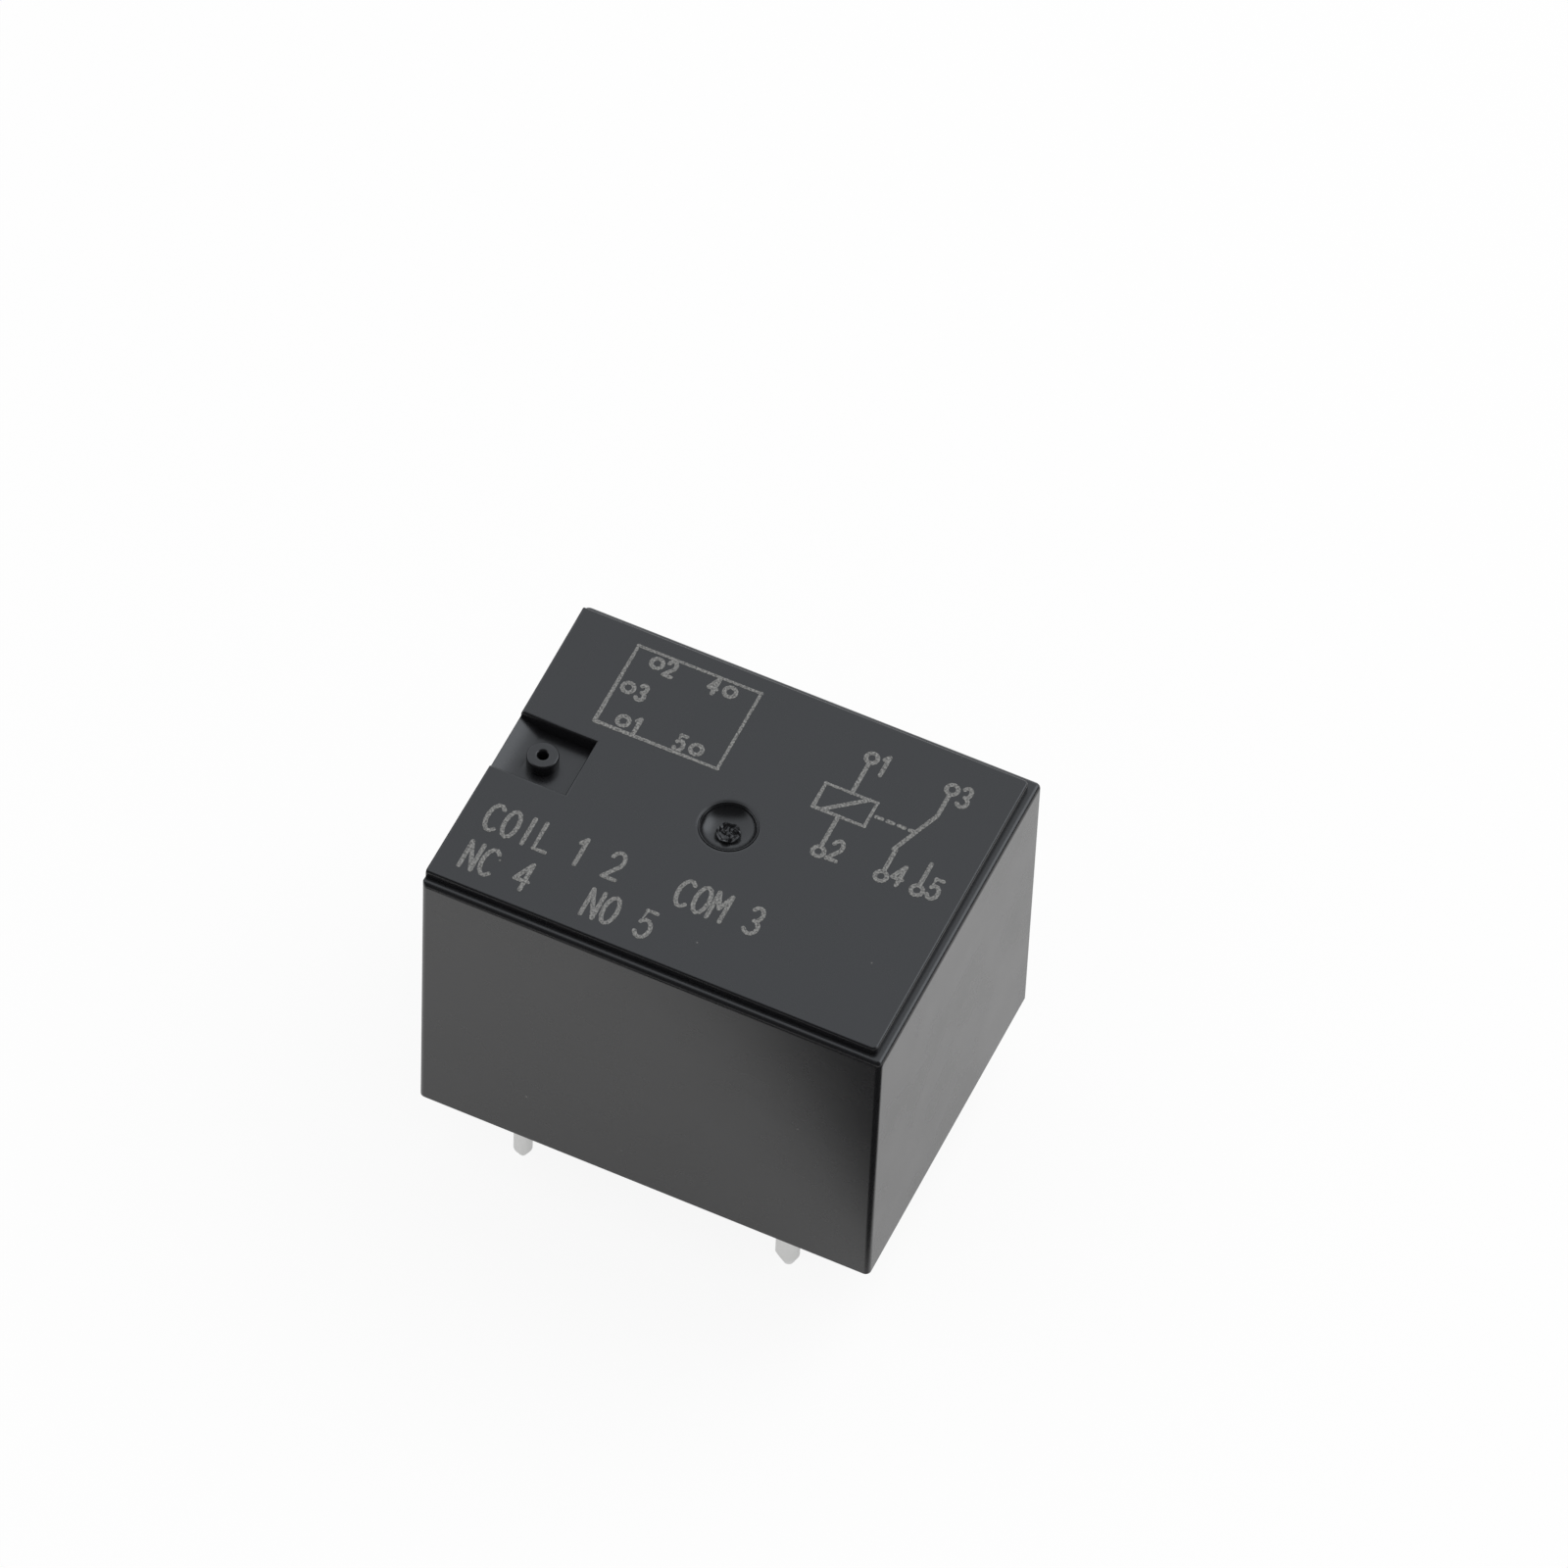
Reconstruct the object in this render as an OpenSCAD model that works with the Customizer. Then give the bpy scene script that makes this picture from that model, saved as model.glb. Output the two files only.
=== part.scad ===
// Sealed power relay for a circuit board, with one changeover contact.
// Millimetres. The pin tips stand on z = 0, +X points to the contact end, -X to the hinge end.

/* [Case] */
// Length of the case, from the hinge end to the contact end
case_l = 20.5; // [18.6:0.1:24]
// Width of the case
case_w = 15.7; // [14.2:0.1:18]
// Height of the case above the board
case_h = 15.4; // [15:0.1:18]
// Thickness of the side walls
wall_t = 0.75; // [0.6:0.05:0.85]
// Thickness of the roof
roof_t = 0.9; // [0.8:0.05:1.2]
// Radius of the upright corners
corner_r = 0.25; // [0.2:0.05:0.4]
// Height of the raised panel on the roof
panel_h = 0.35; // [0.2:0.05:0.6]
// Ledge left along three sides of the raised panel
panel_ledge = 0.25; // [0.1:0.05:0.5]
// Radius of the moulded edges along the roof
edge_r = 0.15; // [0.05:0.01:0.18]

/* [Vent] */
// Length of the vent recess, in from the hinge end
vent_l = 3.4; // [2.6:0.1:4]
// Width of the vent recess
vent_w = 2.9; // [2.2:0.1:4]
// Depth of the vent recess round the post
vent_depth = 0.75; // [0.6:0.05:1]
// Depth of the vent recess at the hinge end, where its floor begins to slope down
vent_sill = 0.25; // [0.1:0.05:0.5]
// Diameter of the vent post
vent_post_d = 1.35; // [1.1:0.05:1.6]
// Height of the vent post above the recess floor
vent_post_h = 0.6; // [0.4:0.05:0.75]
// Diameter of the vent hole
vent_hole_d = 0.45; // [0.3:0.05:0.6]
// Distance of the vent post from the hinge end
vent_post_inset = 1.7; // [1.2:0.1:2]

/* [Gate marks] */
// Diameter of the bowl in the middle of the roof
bowl_d = 2.4; // [1.8:0.1:2.8]
// Depth of the bowl
bowl_depth = 0.6; // [0.3:0.05:0.65]
// Diameter of the broken-off stub in the bowl
stub_d = 1.0; // [0.6:0.1:1.2]
// Diameter of the round pocket under the base
pocket_d = 2.4; // [1.6:0.1:3]
// Depth of that pocket
pocket_depth = 0.35; // [0.2:0.05:0.6]

/* [Pins] */
// Length of the pins below the case
pin_len = 4.1; // [3:0.1:5]
// Distance of the coil pins from the hinge end of the case
coil_pin_inset = 3.95; // [3.6:0.05:4.4]
// Distance of the two rows of pins from the sides of the case
pin_side_inset = 1.85; // [1.7:0.05:2.1]
// Distance of the common pin behind the coil pins
com_pitch = 2; // [1.9:0.05:2.1]
// Diameter of the round coil pins
coil_pin_d = 0.8; // [0.6:0.05:0.9]
// Width of the folded contact pins
contact_pin_w = 0.9; // [0.8:0.05:1]
// Width of the flat common pin
com_pin_w = 0.9; // [0.7:0.05:1.1]
// Length of the tapered tips
tip_l = 0.5; // [0.3:0.05:0.8]

/* [Base] */
// Thickness of the base plate
base_t = 1.6; // [1.3:0.1:1.8]
// Depth of the base plate inside the rim of the case
base_recess = 0.25; // [0.1:0.05:0.4]
// Depth of the sealing wells in the underside
well_depth = 0.6; // [0.4:0.05:0.8]
// Reach of the sealing wells, in from the edge of the base
well_reach = 1.9; // [1.6:0.05:2.2]
// Thickness of the sealing compound in the wells
seal_t = 0.25; // [0.15:0.05:0.35]
// Width of the sealing groove round the base
groove_w = 0.2; // [0.1:0.05:0.3]
// Thickness of the wall between coil and contacts
barrier_t = 0.6; // [0.4:0.05:0.8]
// Thickness of the socket's cheek beside each contact terminal
cheek_t = 0.5; // [0.3:0.05:0.7]
// Height of the sockets that hold the contact terminals
socket_h = 3; // [2:0.1:5]

/* [Magnet] */
// Thickness of the yoke's steel
yoke_t = 1.2; // [1:0.05:1.25]
// Width of the yoke
yoke_w = 9; // [8:0.1:9.8]
// Diameter of the core
core_d = 3.6; // [3:0.1:4]
// Diameter of the pole plate on the core
pole_d = 6.6; // [5:0.1:7]
// Thickness of the pole plate
pole_t = 0.8; // [0.6:0.05:1]
// Diameter of the winding
coil_d = 8.8; // [7.5:0.1:9]
// Length of the bobbin's flanges, along the case
flange_l = 9.4; // [9:0.05:10.5]
// Width of the bobbin's flanges
flange_w = 10.4; // [10:0.1:10.6]
// Thickness of the bobbin's flanges
flange_t = 0.7; // [0.5:0.05:0.9]
// Wall of the bobbin's tube
tube_t = 0.5; // [0.4:0.05:0.7]
// Thickness of the wire bundle that leads to each coil pin
lead_d = 0.3; // [0.2:0.05:0.4]

/* [Armature] */
// Thickness of the armature
armature_t = 1; // [0.8:0.05:1.1]
// Width of the armature
armature_w = 8.2; // [7:0.1:9]
// Angle that the armature rises by when the coil is off
release_angle = 2.6; // [2:0.1:3]
// Air gap left at the pole when the coil is on
air_gap = 0.05; // [0.03:0.01:0.08]
// Thickness of the moving spring
spring_t = 0.15; // [0.1:0.01:0.2]
// Width of the moving spring on the armature
spring_w = 5.2; // [4.8:0.1:6]
// Width of the moving spring at the contact
spring_tip_w = 3; // [2.8:0.1:3.4]
// Inner radius of the spring's bend round the hinge
spring_bend_r = 0.5; // [0.4:0.05:0.6]
// Length of the spring's leg down the back of the yoke
spring_leg = 5.8; // [5.4:0.1:6.5]

/* [Contacts] */
// Thickness of the contact terminals' sheet
terminal_t = 0.45; // [0.4:0.01:0.5]
// Width of the contact terminals
terminal_w = 3; // [2.8:0.1:3.2]
// Thickness of the common terminal
com_t = 0.5; // [0.4:0.05:0.6]
// Width of the common terminal
com_w = 5; // [4.6:0.1:6]
// Diameter of the contact heads
contact_d = 2.4; // [2:0.1:2.6]
// Height of the contact heads
contact_h = 0.45; // [0.35:0.05:0.5]
// Radius of the domed contact faces
contact_dome_r = 6; // [4:0.5:10]
// Diameter of the rivet shanks
shank_d = 1.1; // [0.9:0.05:1.2]
// Diameter of the rivet heads
rivet_d = 1.8; // [1.5:0.1:2]
// Height of the rivet heads
rivet_h = 0.2; // [0.15:0.05:0.3]

/* [Fits] */
// Gap round pressed, staked and moulded-in pieces
fit_gap = 0.03; // [0.02:0.01:0.05]
// Gap between the base and the walls of the case
base_gap = 0.05; // [0.03:0.01:0.1]
// Gap between contacts that touch, at either end of the travel
contact_gap = 0.03; // [0.02:0.01:0.05]
// Gap between the highest terminal and the roof
roof_gap = 0.35; // [0.2:0.05:0.6]
// Gap between the bobbin's flanges and their neighbours
coil_gap = 0.3; // [0.28:0.01:0.35]

/* [Hidden] */
$fn = 64;

// Small amount by which a cut passes the face it opens
cut = 0.5;

// Levels, from the pin tips up
seat_z = pin_len;
base_z = seat_z + base_recess;
floor_z = base_z + base_t;
roof_z = seat_z + case_h;
ceiling_z = roof_z - roof_t;
well_z = base_z + well_depth;

// Plan of the case and the base
inner_l = case_l - 2 * wall_t;
inner_w = case_w - 2 * wall_t;
base_l = inner_l - 2 * base_gap;
base_w = inner_w - 2 * base_gap;
base_corner_r = 0.4;
pocket_inset = 1.75;
panel_step = edge_r + panel_ledge;
panel_end_step = 0.03;
panel_l = case_l - panel_step - panel_end_step;
panel_w = case_w - 2 * panel_step;
panel_x = (panel_end_step - panel_step) / 2;
panel_edge_r = edge_r / 2;
vent_floor_t = 0.6;
vent_ramp_l = 1;
vent_x = -case_l / 2 + vent_post_inset;

// Places of the pins
coil_x = -case_l / 2 + coil_pin_inset;
com_x = coil_x - com_pitch;
pin_y = case_w / 2 - pin_side_inset;
tip_flat = 0.15;
pin_collar = 0.18;
pin_stub = 0.2;

// Lines of the magnet, from the back of the yoke forward
hinge_x = com_x + com_t / 2 + spring_t;
yoke_in_x = hinge_x + yoke_t;
yoke_bend_r = 0.25;
flange_x = yoke_in_x + coil_gap;
coil_cx = flange_x + flange_l / 2;
yoke_past_core = 1.8;
yoke_front_x = coil_cx + core_d / 2 + yoke_past_core;
tube_d = core_d + 2 * fit_gap + 2 * tube_t;
stake_step = 0.45;
stake_d = core_d - 2 * stake_step;
barrier_x = flange_x + flange_l + coil_gap;
barrier_drop = 0.5;

// Line of the contacts and their pins, just past the wall that shields the coil
contact_x = barrier_x + barrier_t + cheek_t + terminal_w / 2;

// The lever: heights above the hinge with the coil on, and the rise with the coil off
arm_top = air_gap + armature_t;
lever = contact_x - hinge_x;
armature_past_pole = 0.9;
armature_l = coil_cx + pole_d / 2 + armature_past_pole - hinge_x;
tail_gap = 0.1;
tail_chamfer = 0.35;
contact_up = arm_top + spring_t + contact_h;
contact_rise = lever * sin(release_angle) + (contact_up - contact_dome_r) * cos(release_angle) + contact_dome_r;

// Levels that hang from the roof down to the pole
nc_tab_z = ceiling_z - roof_gap - rivet_h - terminal_t;
nc_face_z = nc_tab_z - contact_h;
pole_z = nc_face_z - contact_gap - contact_rise;
no_face_z = pole_z + arm_top - contact_h - contact_gap;
no_tab_z = no_face_z - contact_h - terminal_t;

// Levels of the bobbin
flange_z = floor_z + yoke_t;
wind_z = flange_z + flange_t;
top_flange_z = pole_z - pole_t - flange_t;
flange_corner_r = 0.8;
lug_w = 2;
lug_wall = 0.3;
lug_y = pin_y + coil_pin_d / 2 + pin_collar + fit_gap + lug_wall;
wrap_turns = 4;
wrap_h = wrap_turns * lead_d;
wrap_gap = 0.15;
wrap_z = wind_z + wrap_gap;

// Rivets
rivet_past_core = 0.4;
armature_rivet_x = coil_cx - hinge_x + rivet_past_core;
armature_rivet_y = 1.7;
yoke_rivet_y = 1.5;
leg_past_rivet = 1.5;
com_past_rivet = 1.4;
yoke_rivet_z = pole_z - spring_leg + leg_past_rivet;
com_top_z = yoke_rivet_z + com_past_rivet;

// Colours
black_moulding = "#2c2d30";
resin = "#1b1c1e";
ivory_moulding = "#d8d2c0";
copper = "#b5612f";
steel = "#a9adb0";
brass_sheet = "#c9a75a";
tin = "#d9dadb";
silver = "#e4e4e0";

// Rectangle with round corners, centred
module round_rect(l, w, r) {
    square([l, w - 2 * r], center = true);
    square([l - 2 * r, w], center = true);
    for (x = [-1, 1], y = [-1, 1])
        translate([x * (l / 2 - r), y * (w / 2 - r)])
            circle(r);
}

// Side view of a block whose top edges are rounded by e
module soft_side(l, h, e) {
    translate([-l / 2, 0])
        square([l, h - e]);
    translate([-l / 2 + e, 0])
        square([l - 2 * e, h]);
    for (s = [-1, 1])
        translate([s * (l / 2 - e), h - e])
            circle(e);
}

// Half of that side view, for the upright corners
module soft_corner(r, h, e) {
    square([r, h - e]);
    square([r - e, h]);
    translate([r - e, h - e])
        intersection() {
            circle(e);
            square(2 * e);
        }
}

// Block with upright corners of radius r and top edges of radius e
module soft_block(l, w, h, r, e) {
    rotate([90, 0, 0])
        linear_extrude(w - 2 * r, center = true)
            soft_side(l, h, e);
    rotate([90, 0, 90])
        linear_extrude(l - 2 * r, center = true)
            soft_side(w, h, e);
    for (i = [0:3])
        translate([(i == 0 || i == 3 ? 1 : -1) * (l / 2 - r), (i < 2 ? 1 : -1) * (w / 2 - r), 0])
            rotate(90 * i)
                rotate_extrude(angle = 90)
                    soft_corner(r, h, e);
}

// The inside of the case, less the walls of the vent recess
module case_cavity() {
    difference() {
        translate([-inner_l / 2, -inner_w / 2, seat_z - cut])
            cube([inner_l, inner_w, ceiling_z - seat_z + cut]);
        translate([-case_l / 2, -vent_w / 2 - wall_t, roof_z - vent_depth - vent_floor_t])
            cube([vent_l + wall_t, vent_w + 2 * wall_t, vent_depth + vent_floor_t]);
    }
}

// The vent recess, whose floor slopes down from a sill at the hinge end
module vent_recess() {
    rotate([90, 0, 0])
        linear_extrude(vent_w, center = true)
            polygon([
                [-case_l / 2 - cut, roof_z + cut],
                [-case_l / 2 - cut, roof_z - vent_sill],
                [-case_l / 2, roof_z - vent_sill],
                [-case_l / 2 + vent_ramp_l, roof_z - vent_depth],
                [-case_l / 2 + vent_l, roof_z - vent_depth],
                [-case_l / 2 + vent_l, roof_z + cut]
            ]);
}

// Ring of the vent post, with soft edges on top
module vent_post() {
    ring_t = (vent_post_d - vent_hole_d) / 2;
    ring_edge_r = 0.1;
    rotate_extrude()
        translate([(vent_hole_d + ring_t) / 2, 0])
            soft_side(ring_t, vent_post_h, ring_edge_r);
}

module cover() {
    bowl_r = (bowl_d * bowl_d / 4 + bowl_depth * bowl_depth) / (2 * bowl_depth);
    stub_h = 0.12;
    stub_root = 0.1;
    color(black_moulding)
        difference() {
            union() {
                difference() {
                    union() {
                        translate([0, 0, seat_z])
                            soft_block(case_l, case_w, case_h - panel_h, corner_r, edge_r);
                        translate([panel_x, 0, ceiling_z])
                            soft_block(panel_l, panel_w, roof_t, corner_r, panel_edge_r);
                    }
                    case_cavity();
                    vent_recess();
                    translate([panel_x, 0, roof_z - bowl_depth + bowl_r])
                        sphere(bowl_r);
                }
                translate([vent_x, 0, roof_z - vent_depth])
                    vent_post();
                translate([panel_x, 0, roof_z - bowl_depth - stub_root])
                    cylinder(d = stub_d, h = stub_root + stub_h);
            }
            translate([vent_x, 0, roof_z - vent_depth - vent_floor_t - cut])
                cylinder(d = vent_hole_d, h = vent_floor_t + vent_depth + 2 * cut);
        }
}

// Sections of the pins where they pass the base
module contact_pin_section(grow = 0) {
    fold_r = contact_pin_w / 2 + grow;
    circle(fold_r);
    translate([-fold_r, -fold_r])
        square([fold_r, 2 * fold_r]);
}

module pin_holes(grow) {
    for (s = [-1, 1]) {
        translate([contact_x, s * pin_y])
            contact_pin_section(grow);
        translate([coil_x, s * pin_y])
            circle(coil_pin_d / 2 + pin_collar + grow);
    }
    translate([com_x, 0])
        square([com_t + 2 * grow, com_pin_w + 2 * grow], center = true);
}

// A well that runs in from the long edge of the base, on the side given by s
module edge_well(x, l, s) {
    r = 0.9;
    for (e = [-1, 1])
        translate([x + e * (l / 2 - r), s * (base_w / 2 - well_reach + r)])
            circle(r);
    translate([x - l / 2 + r, s * base_w / 2 - (s > 0 ? well_reach : 0)])
        square([l - 2 * r, well_reach]);
    translate([x - l / 2, s * base_w / 2 - (s > 0 ? well_reach - r : 0)])
        square([l, well_reach - r]);
}

// Plan of all the wells in the underside
module wells() {
    pin_well_l = 5.2;
    arch_well_l = 2;
    end_well_r = 1.2;
    end_well_y = 2.5;
    com_well_w = 7.2;
    for (s = [-1, 1]) {
        edge_well(contact_x, pin_well_l, s);
        edge_well(coil_x, pin_well_l, s);
        edge_well((contact_x + coil_x) / 2, arch_well_l, s);
        translate([base_l / 2 - end_well_r / 2, s * end_well_y])
            circle(end_well_r);
    }
    translate([-base_l / 2, -com_well_w / 2])
        square([well_reach, com_well_w]);
}

// Draws a piece of the +Y side on both sides
module both_sides() {
    children();
    mirror([0, 1, 0])
        children();
}

// Socket that holds the foot of the contact terminal on the +Y side
module socket() {
    near_x = contact_x - terminal_w / 2 - cheek_t;
    end_x = base_l / 2 - base_gap;
    back_y = base_w / 2 - base_gap;
    difference() {
        translate([near_x, pin_y - cheek_t, floor_z])
            cube([end_x - near_x, back_y - pin_y + cheek_t, socket_h]);
        translate([contact_x - terminal_w / 2 - fit_gap, pin_y - fit_gap, floor_z])
            cube([terminal_w + 2 * fit_gap, terminal_t + 2 * fit_gap, socket_h + cut]);
    }
}

// Outline of the base plate below the sealing groove
module groove_island() {
    round_rect(base_l - 2 * groove_w, base_w - 2 * groove_w, base_corner_r);
}

// Plate of the base, with the groove, the wells and the gate pocket in its underside
module base_plate() {
    nub_d = pocket_d / 2;
    pocket_x = coil_x + pocket_inset;
    difference() {
        union() {
            translate([0, 0, well_z])
                linear_extrude(base_t - well_depth)
                    round_rect(base_l, base_w, base_corner_r);
            translate([0, 0, base_z])
                linear_extrude(well_depth)
                    groove_island();
        }
        translate([0, 0, base_z - cut])
            linear_extrude(well_depth + cut)
                wells();
        translate([0, 0, base_z - cut])
            linear_extrude(base_t + 2 * cut)
                pin_holes(fit_gap);
        translate([pocket_x, 0, base_z - cut])
            difference() {
                cylinder(d = pocket_d, h = pocket_depth + cut);
                cylinder(d = nub_d, h = pocket_depth + cut);
            }
    }
}

module base() {
    rib_t = 0.6;
    rib_h = 0.9;
    rib_x = yoke_in_x + lug_w;
    color(black_moulding) {
        base_plate();
        translate([barrier_x, -base_w / 2 + base_corner_r, floor_z])
            cube([barrier_t, base_w - 2 * base_corner_r, pole_z - barrier_drop - floor_z]);
        both_sides() {
            socket();
            translate([rib_x, yoke_w / 2 + fit_gap, floor_z])
                cube([yoke_front_x - rib_x, rib_t, rib_h]);
        }
    }
}

module sealing_compound() {
    color(resin)
        translate([0, 0, well_z - seal_t])
            linear_extrude(seal_t)
                difference() {
                    round_rect(base_l, base_w, base_corner_r);
                    difference() {
                        groove_island();
                        wells();
                    }
                    pin_holes(fit_gap);
                }
}

module flange() {
    linear_extrude(flange_t)
        round_rect(flange_l, flange_w, flange_corner_r);
}

module bobbin() {
    color(ivory_moulding)
        difference() {
            union() {
                translate([coil_cx, 0, flange_z])
                    flange();
                translate([coil_cx, 0, top_flange_z])
                    flange();
                translate([coil_cx, 0, flange_z])
                    cylinder(d = tube_d, h = top_flange_z - flange_z + flange_t);
                both_sides()
                    translate([coil_x - lug_w / 2, yoke_w / 2 + fit_gap, floor_z])
                        cube([lug_w, lug_y - yoke_w / 2 - fit_gap, wind_z - floor_z]);
            }
            translate([coil_cx, 0, flange_z - cut])
                cylinder(d = core_d + 2 * fit_gap, h = pole_z - flange_z + 2 * cut);
            for (s = [-1, 1])
                translate([coil_x, s * pin_y, floor_z - cut])
                    cylinder(d = coil_pin_d + 2 * (pin_collar + fit_gap), h = wind_z - floor_z + 2 * cut);
        }
}

// Wire end wrapped round the top of a coil pin, with the lead that runs to it
module lead(s) {
    ring_r = coil_pin_d / 2 + fit_gap;
    reach = norm([coil_x - coil_cx, pin_y]);
    translate([coil_x, s * pin_y, wrap_z])
        rotate_extrude() {
            translate([ring_r, 0])
                square([lead_d / 2, wrap_h]);
            for (i = [0:wrap_turns - 1])
                translate([ring_r + lead_d / 2, (i + 0.5) * lead_d])
                    circle(lead_d / 2);
        }
    translate([coil_x, s * pin_y, wrap_z + lead_d])
        rotate(atan2(-s * pin_y, coil_cx - coil_x))
            translate([ring_r + lead_d / 2, 0, 0])
                rotate([0, 90, 0])
                    cylinder(d = lead_d, h = reach - ring_r - lead_d / 2 - coil_d / 2 + lead_d);
}

module coil_winding() {
    color(copper) {
        translate([coil_cx, 0, wind_z])
            difference() {
                cylinder(d = coil_d, h = top_flange_z - wind_z);
                translate([0, 0, -cut])
                    cylinder(d = tube_d + 2 * fit_gap, h = top_flange_z - wind_z + 2 * cut);
            }
        for (s = [-1, 1])
            lead(s);
    }
}

module core() {
    pole_chamfer = 0.1;
    color(steel)
        translate([coil_cx, 0, 0])
            rotate_extrude()
                polygon([
                    [0, floor_z],
                    [stake_d / 2, floor_z],
                    [stake_d / 2, flange_z],
                    [core_d / 2, flange_z],
                    [core_d / 2, pole_z - pole_t],
                    [pole_d / 2, pole_z - pole_t],
                    [pole_d / 2, pole_z - pole_chamfer],
                    [pole_d / 2 - pole_chamfer, pole_z],
                    [0, pole_z]
                ]);
}

// Quarter ring of a bent sheet, in the corner towards -X and -Y of its centre
module bend(r, t) {
    intersection() {
        difference() {
            circle(r + t);
            circle(r);
        }
        translate([-r - t, -r - t])
            square(r + t);
    }
}

module yoke() {
    turn = yoke_bend_r + yoke_t;
    color(steel)
        difference() {
            rotate([90, 0, 0])
                linear_extrude(yoke_w, center = true) {
                    translate([hinge_x + turn, floor_z])
                        square([yoke_front_x - hinge_x - turn, yoke_t]);
                    translate([hinge_x, floor_z + turn])
                        square([yoke_t, pole_z - floor_z - turn]);
                    translate([hinge_x + turn, floor_z + turn])
                        bend(yoke_bend_r, yoke_t);
                }
            translate([coil_cx, 0, floor_z - cut])
                cylinder(d = stake_d + 2 * fit_gap, h = yoke_t + 2 * cut);
            for (s = [-1, 1])
                translate([hinge_x - cut, s * yoke_rivet_y, yoke_rivet_z])
                    rotate([0, 90, 0])
                        cylinder(d = shank_d + 2 * fit_gap, h = yoke_t + 2 * cut);
        }
}

module yoke_rivets() {
    color(steel)
        for (s = [-1, 1])
            translate([com_x - com_t / 2 - rivet_h, s * yoke_rivet_y, yoke_rivet_z])
                rotate([0, 90, 0]) {
                    cylinder(d = rivet_d, h = rivet_h);
                    cylinder(d = shank_d, h = rivet_h + com_t + spring_t + yoke_t);
                }
}

// Round pin: tapered tip, the length that enters the board, a collar in the mouldings and a stub for the wire
module coil_pin(s) {
    r = coil_pin_d / 2;
    top = wrap_z + wrap_h + pin_stub;
    color(tin)
        translate([coil_x, s * pin_y, 0])
            rotate_extrude()
                polygon([
                    [0, 0],
                    [tip_flat, 0],
                    [r, tip_l],
                    [r, seat_z],
                    [r + pin_collar, seat_z],
                    [r + pin_collar, wind_z],
                    [r, wind_z],
                    [r, top],
                    [0, top]
                ]);
}

module coil_pin_front() {
    coil_pin(-1);
}

module coil_pin_rear() {
    coil_pin(1);
}

module com_terminal() {
    tip_w = com_pin_w / 2;
    shoulder_h = 0.8;
    shoulder_z = floor_z + shoulder_h;
    color(brass_sheet)
        difference() {
            translate([com_x - com_t / 2, 0, 0])
                rotate([90, 0, 90])
                    linear_extrude(com_t)
                        polygon([
                            [-tip_w / 2, 0],
                            [tip_w / 2, 0],
                            [com_pin_w / 2, tip_l],
                            [com_pin_w / 2, floor_z],
                            [com_w / 2, shoulder_z],
                            [com_w / 2, com_top_z],
                            [-com_w / 2, com_top_z],
                            [-com_w / 2, shoulder_z],
                            [-com_pin_w / 2, floor_z],
                            [-com_pin_w / 2, tip_l]
                        ]);
            for (s = [-1, 1])
                translate([com_x - com_t, s * yoke_rivet_y, yoke_rivet_z])
                    rotate([0, 90, 0])
                        cylinder(d = shank_d + 2 * fit_gap, h = 2 * com_t);
        }
}

// Stands a piece drawn flat on the pole, hinge at the origin, up to its place with the coil off
module released() {
    translate([hinge_x, 0, pole_z])
        rotate([0, -release_angle, 0])
            children();
}

module rivet_holes(z, h) {
    for (s = [-1, 1])
        translate([armature_rivet_x, s * armature_rivet_y, z])
            cylinder(d = shank_d + 2 * fit_gap, h = h);
}

module armature() {
    nose = 1.2;
    color(steel)
        released()
            difference() {
                intersection() {
                    rotate([90, 0, 0])
                        linear_extrude(armature_w, center = true)
                            polygon([
                                [tail_gap, air_gap],
                                [armature_l, air_gap],
                                [armature_l, arm_top],
                                [tail_gap + tail_chamfer, arm_top],
                                [tail_gap, arm_top - tail_chamfer]
                            ]);
                    linear_extrude(arm_top + cut)
                        polygon([
                            [0, -armature_w / 2],
                            [armature_l - nose, -armature_w / 2],
                            [armature_l, -armature_w / 2 + nose],
                            [armature_l, armature_w / 2 - nose],
                            [armature_l - nose, armature_w / 2],
                            [0, armature_w / 2]
                        ]);
                }
                rivet_holes(0, arm_top + cut);
            }
}

module armature_rivets() {
    color(steel)
        released()
            for (s = [-1, 1])
                translate([armature_rivet_x, s * armature_rivet_y, air_gap]) {
                    cylinder(d = shank_d, h = armature_t + spring_t + rivet_h);
                    translate([0, 0, armature_t + spring_t])
                        cylinder(d = rivet_d, h = rivet_h);
                }
}

// Points of an arc about c, from angle a to angle b
function arc(c, r, a, b, n = 12) = [for (i = [0:n]) c + r * [cos(a + (b - a) * i / n), sin(a + (b - a) * i / n)]];

// A point of the leaf, given along it and above the hinge
function leaf_point(x, z) = [
    x * cos(release_angle) - z * sin(release_angle),
    x * sin(release_angle) + z * cos(release_angle)
];

// Side view of the spring: leg down the yoke, bend round the hinge and leaf along the armature
module spring_side() {
    up = 90 + release_angle;
    rise = (arm_top - spring_bend_r + sin(release_angle) * spring_bend_r) / cos(release_angle);
    centre = [spring_bend_r, rise];
    tip = lever + spring_tip_w / 2;
    polygon(concat(
        [[0, -spring_leg]],
        arc(centre, spring_bend_r, 180, up),
        [leaf_point(tip, arm_top), leaf_point(tip, arm_top + spring_t)],
        arc(centre, spring_bend_r + spring_t, up, 180),
        [[-spring_t, -spring_leg]]
    ));
}

// Plan of the spring, narrowing to a round tip at the contact
module spring_plan() {
    neck_x = lever - 2.2;
    waist_x = neck_x - 2.4;
    polygon([
        [-1, -spring_w / 2],
        [waist_x, -spring_w / 2],
        [neck_x, -spring_tip_w / 2],
        [lever, -spring_tip_w / 2],
        [lever, spring_tip_w / 2],
        [neck_x, spring_tip_w / 2],
        [waist_x, spring_w / 2],
        [-1, spring_w / 2]
    ]);
    translate([lever, 0])
        circle(spring_tip_w / 2);
}

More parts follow.
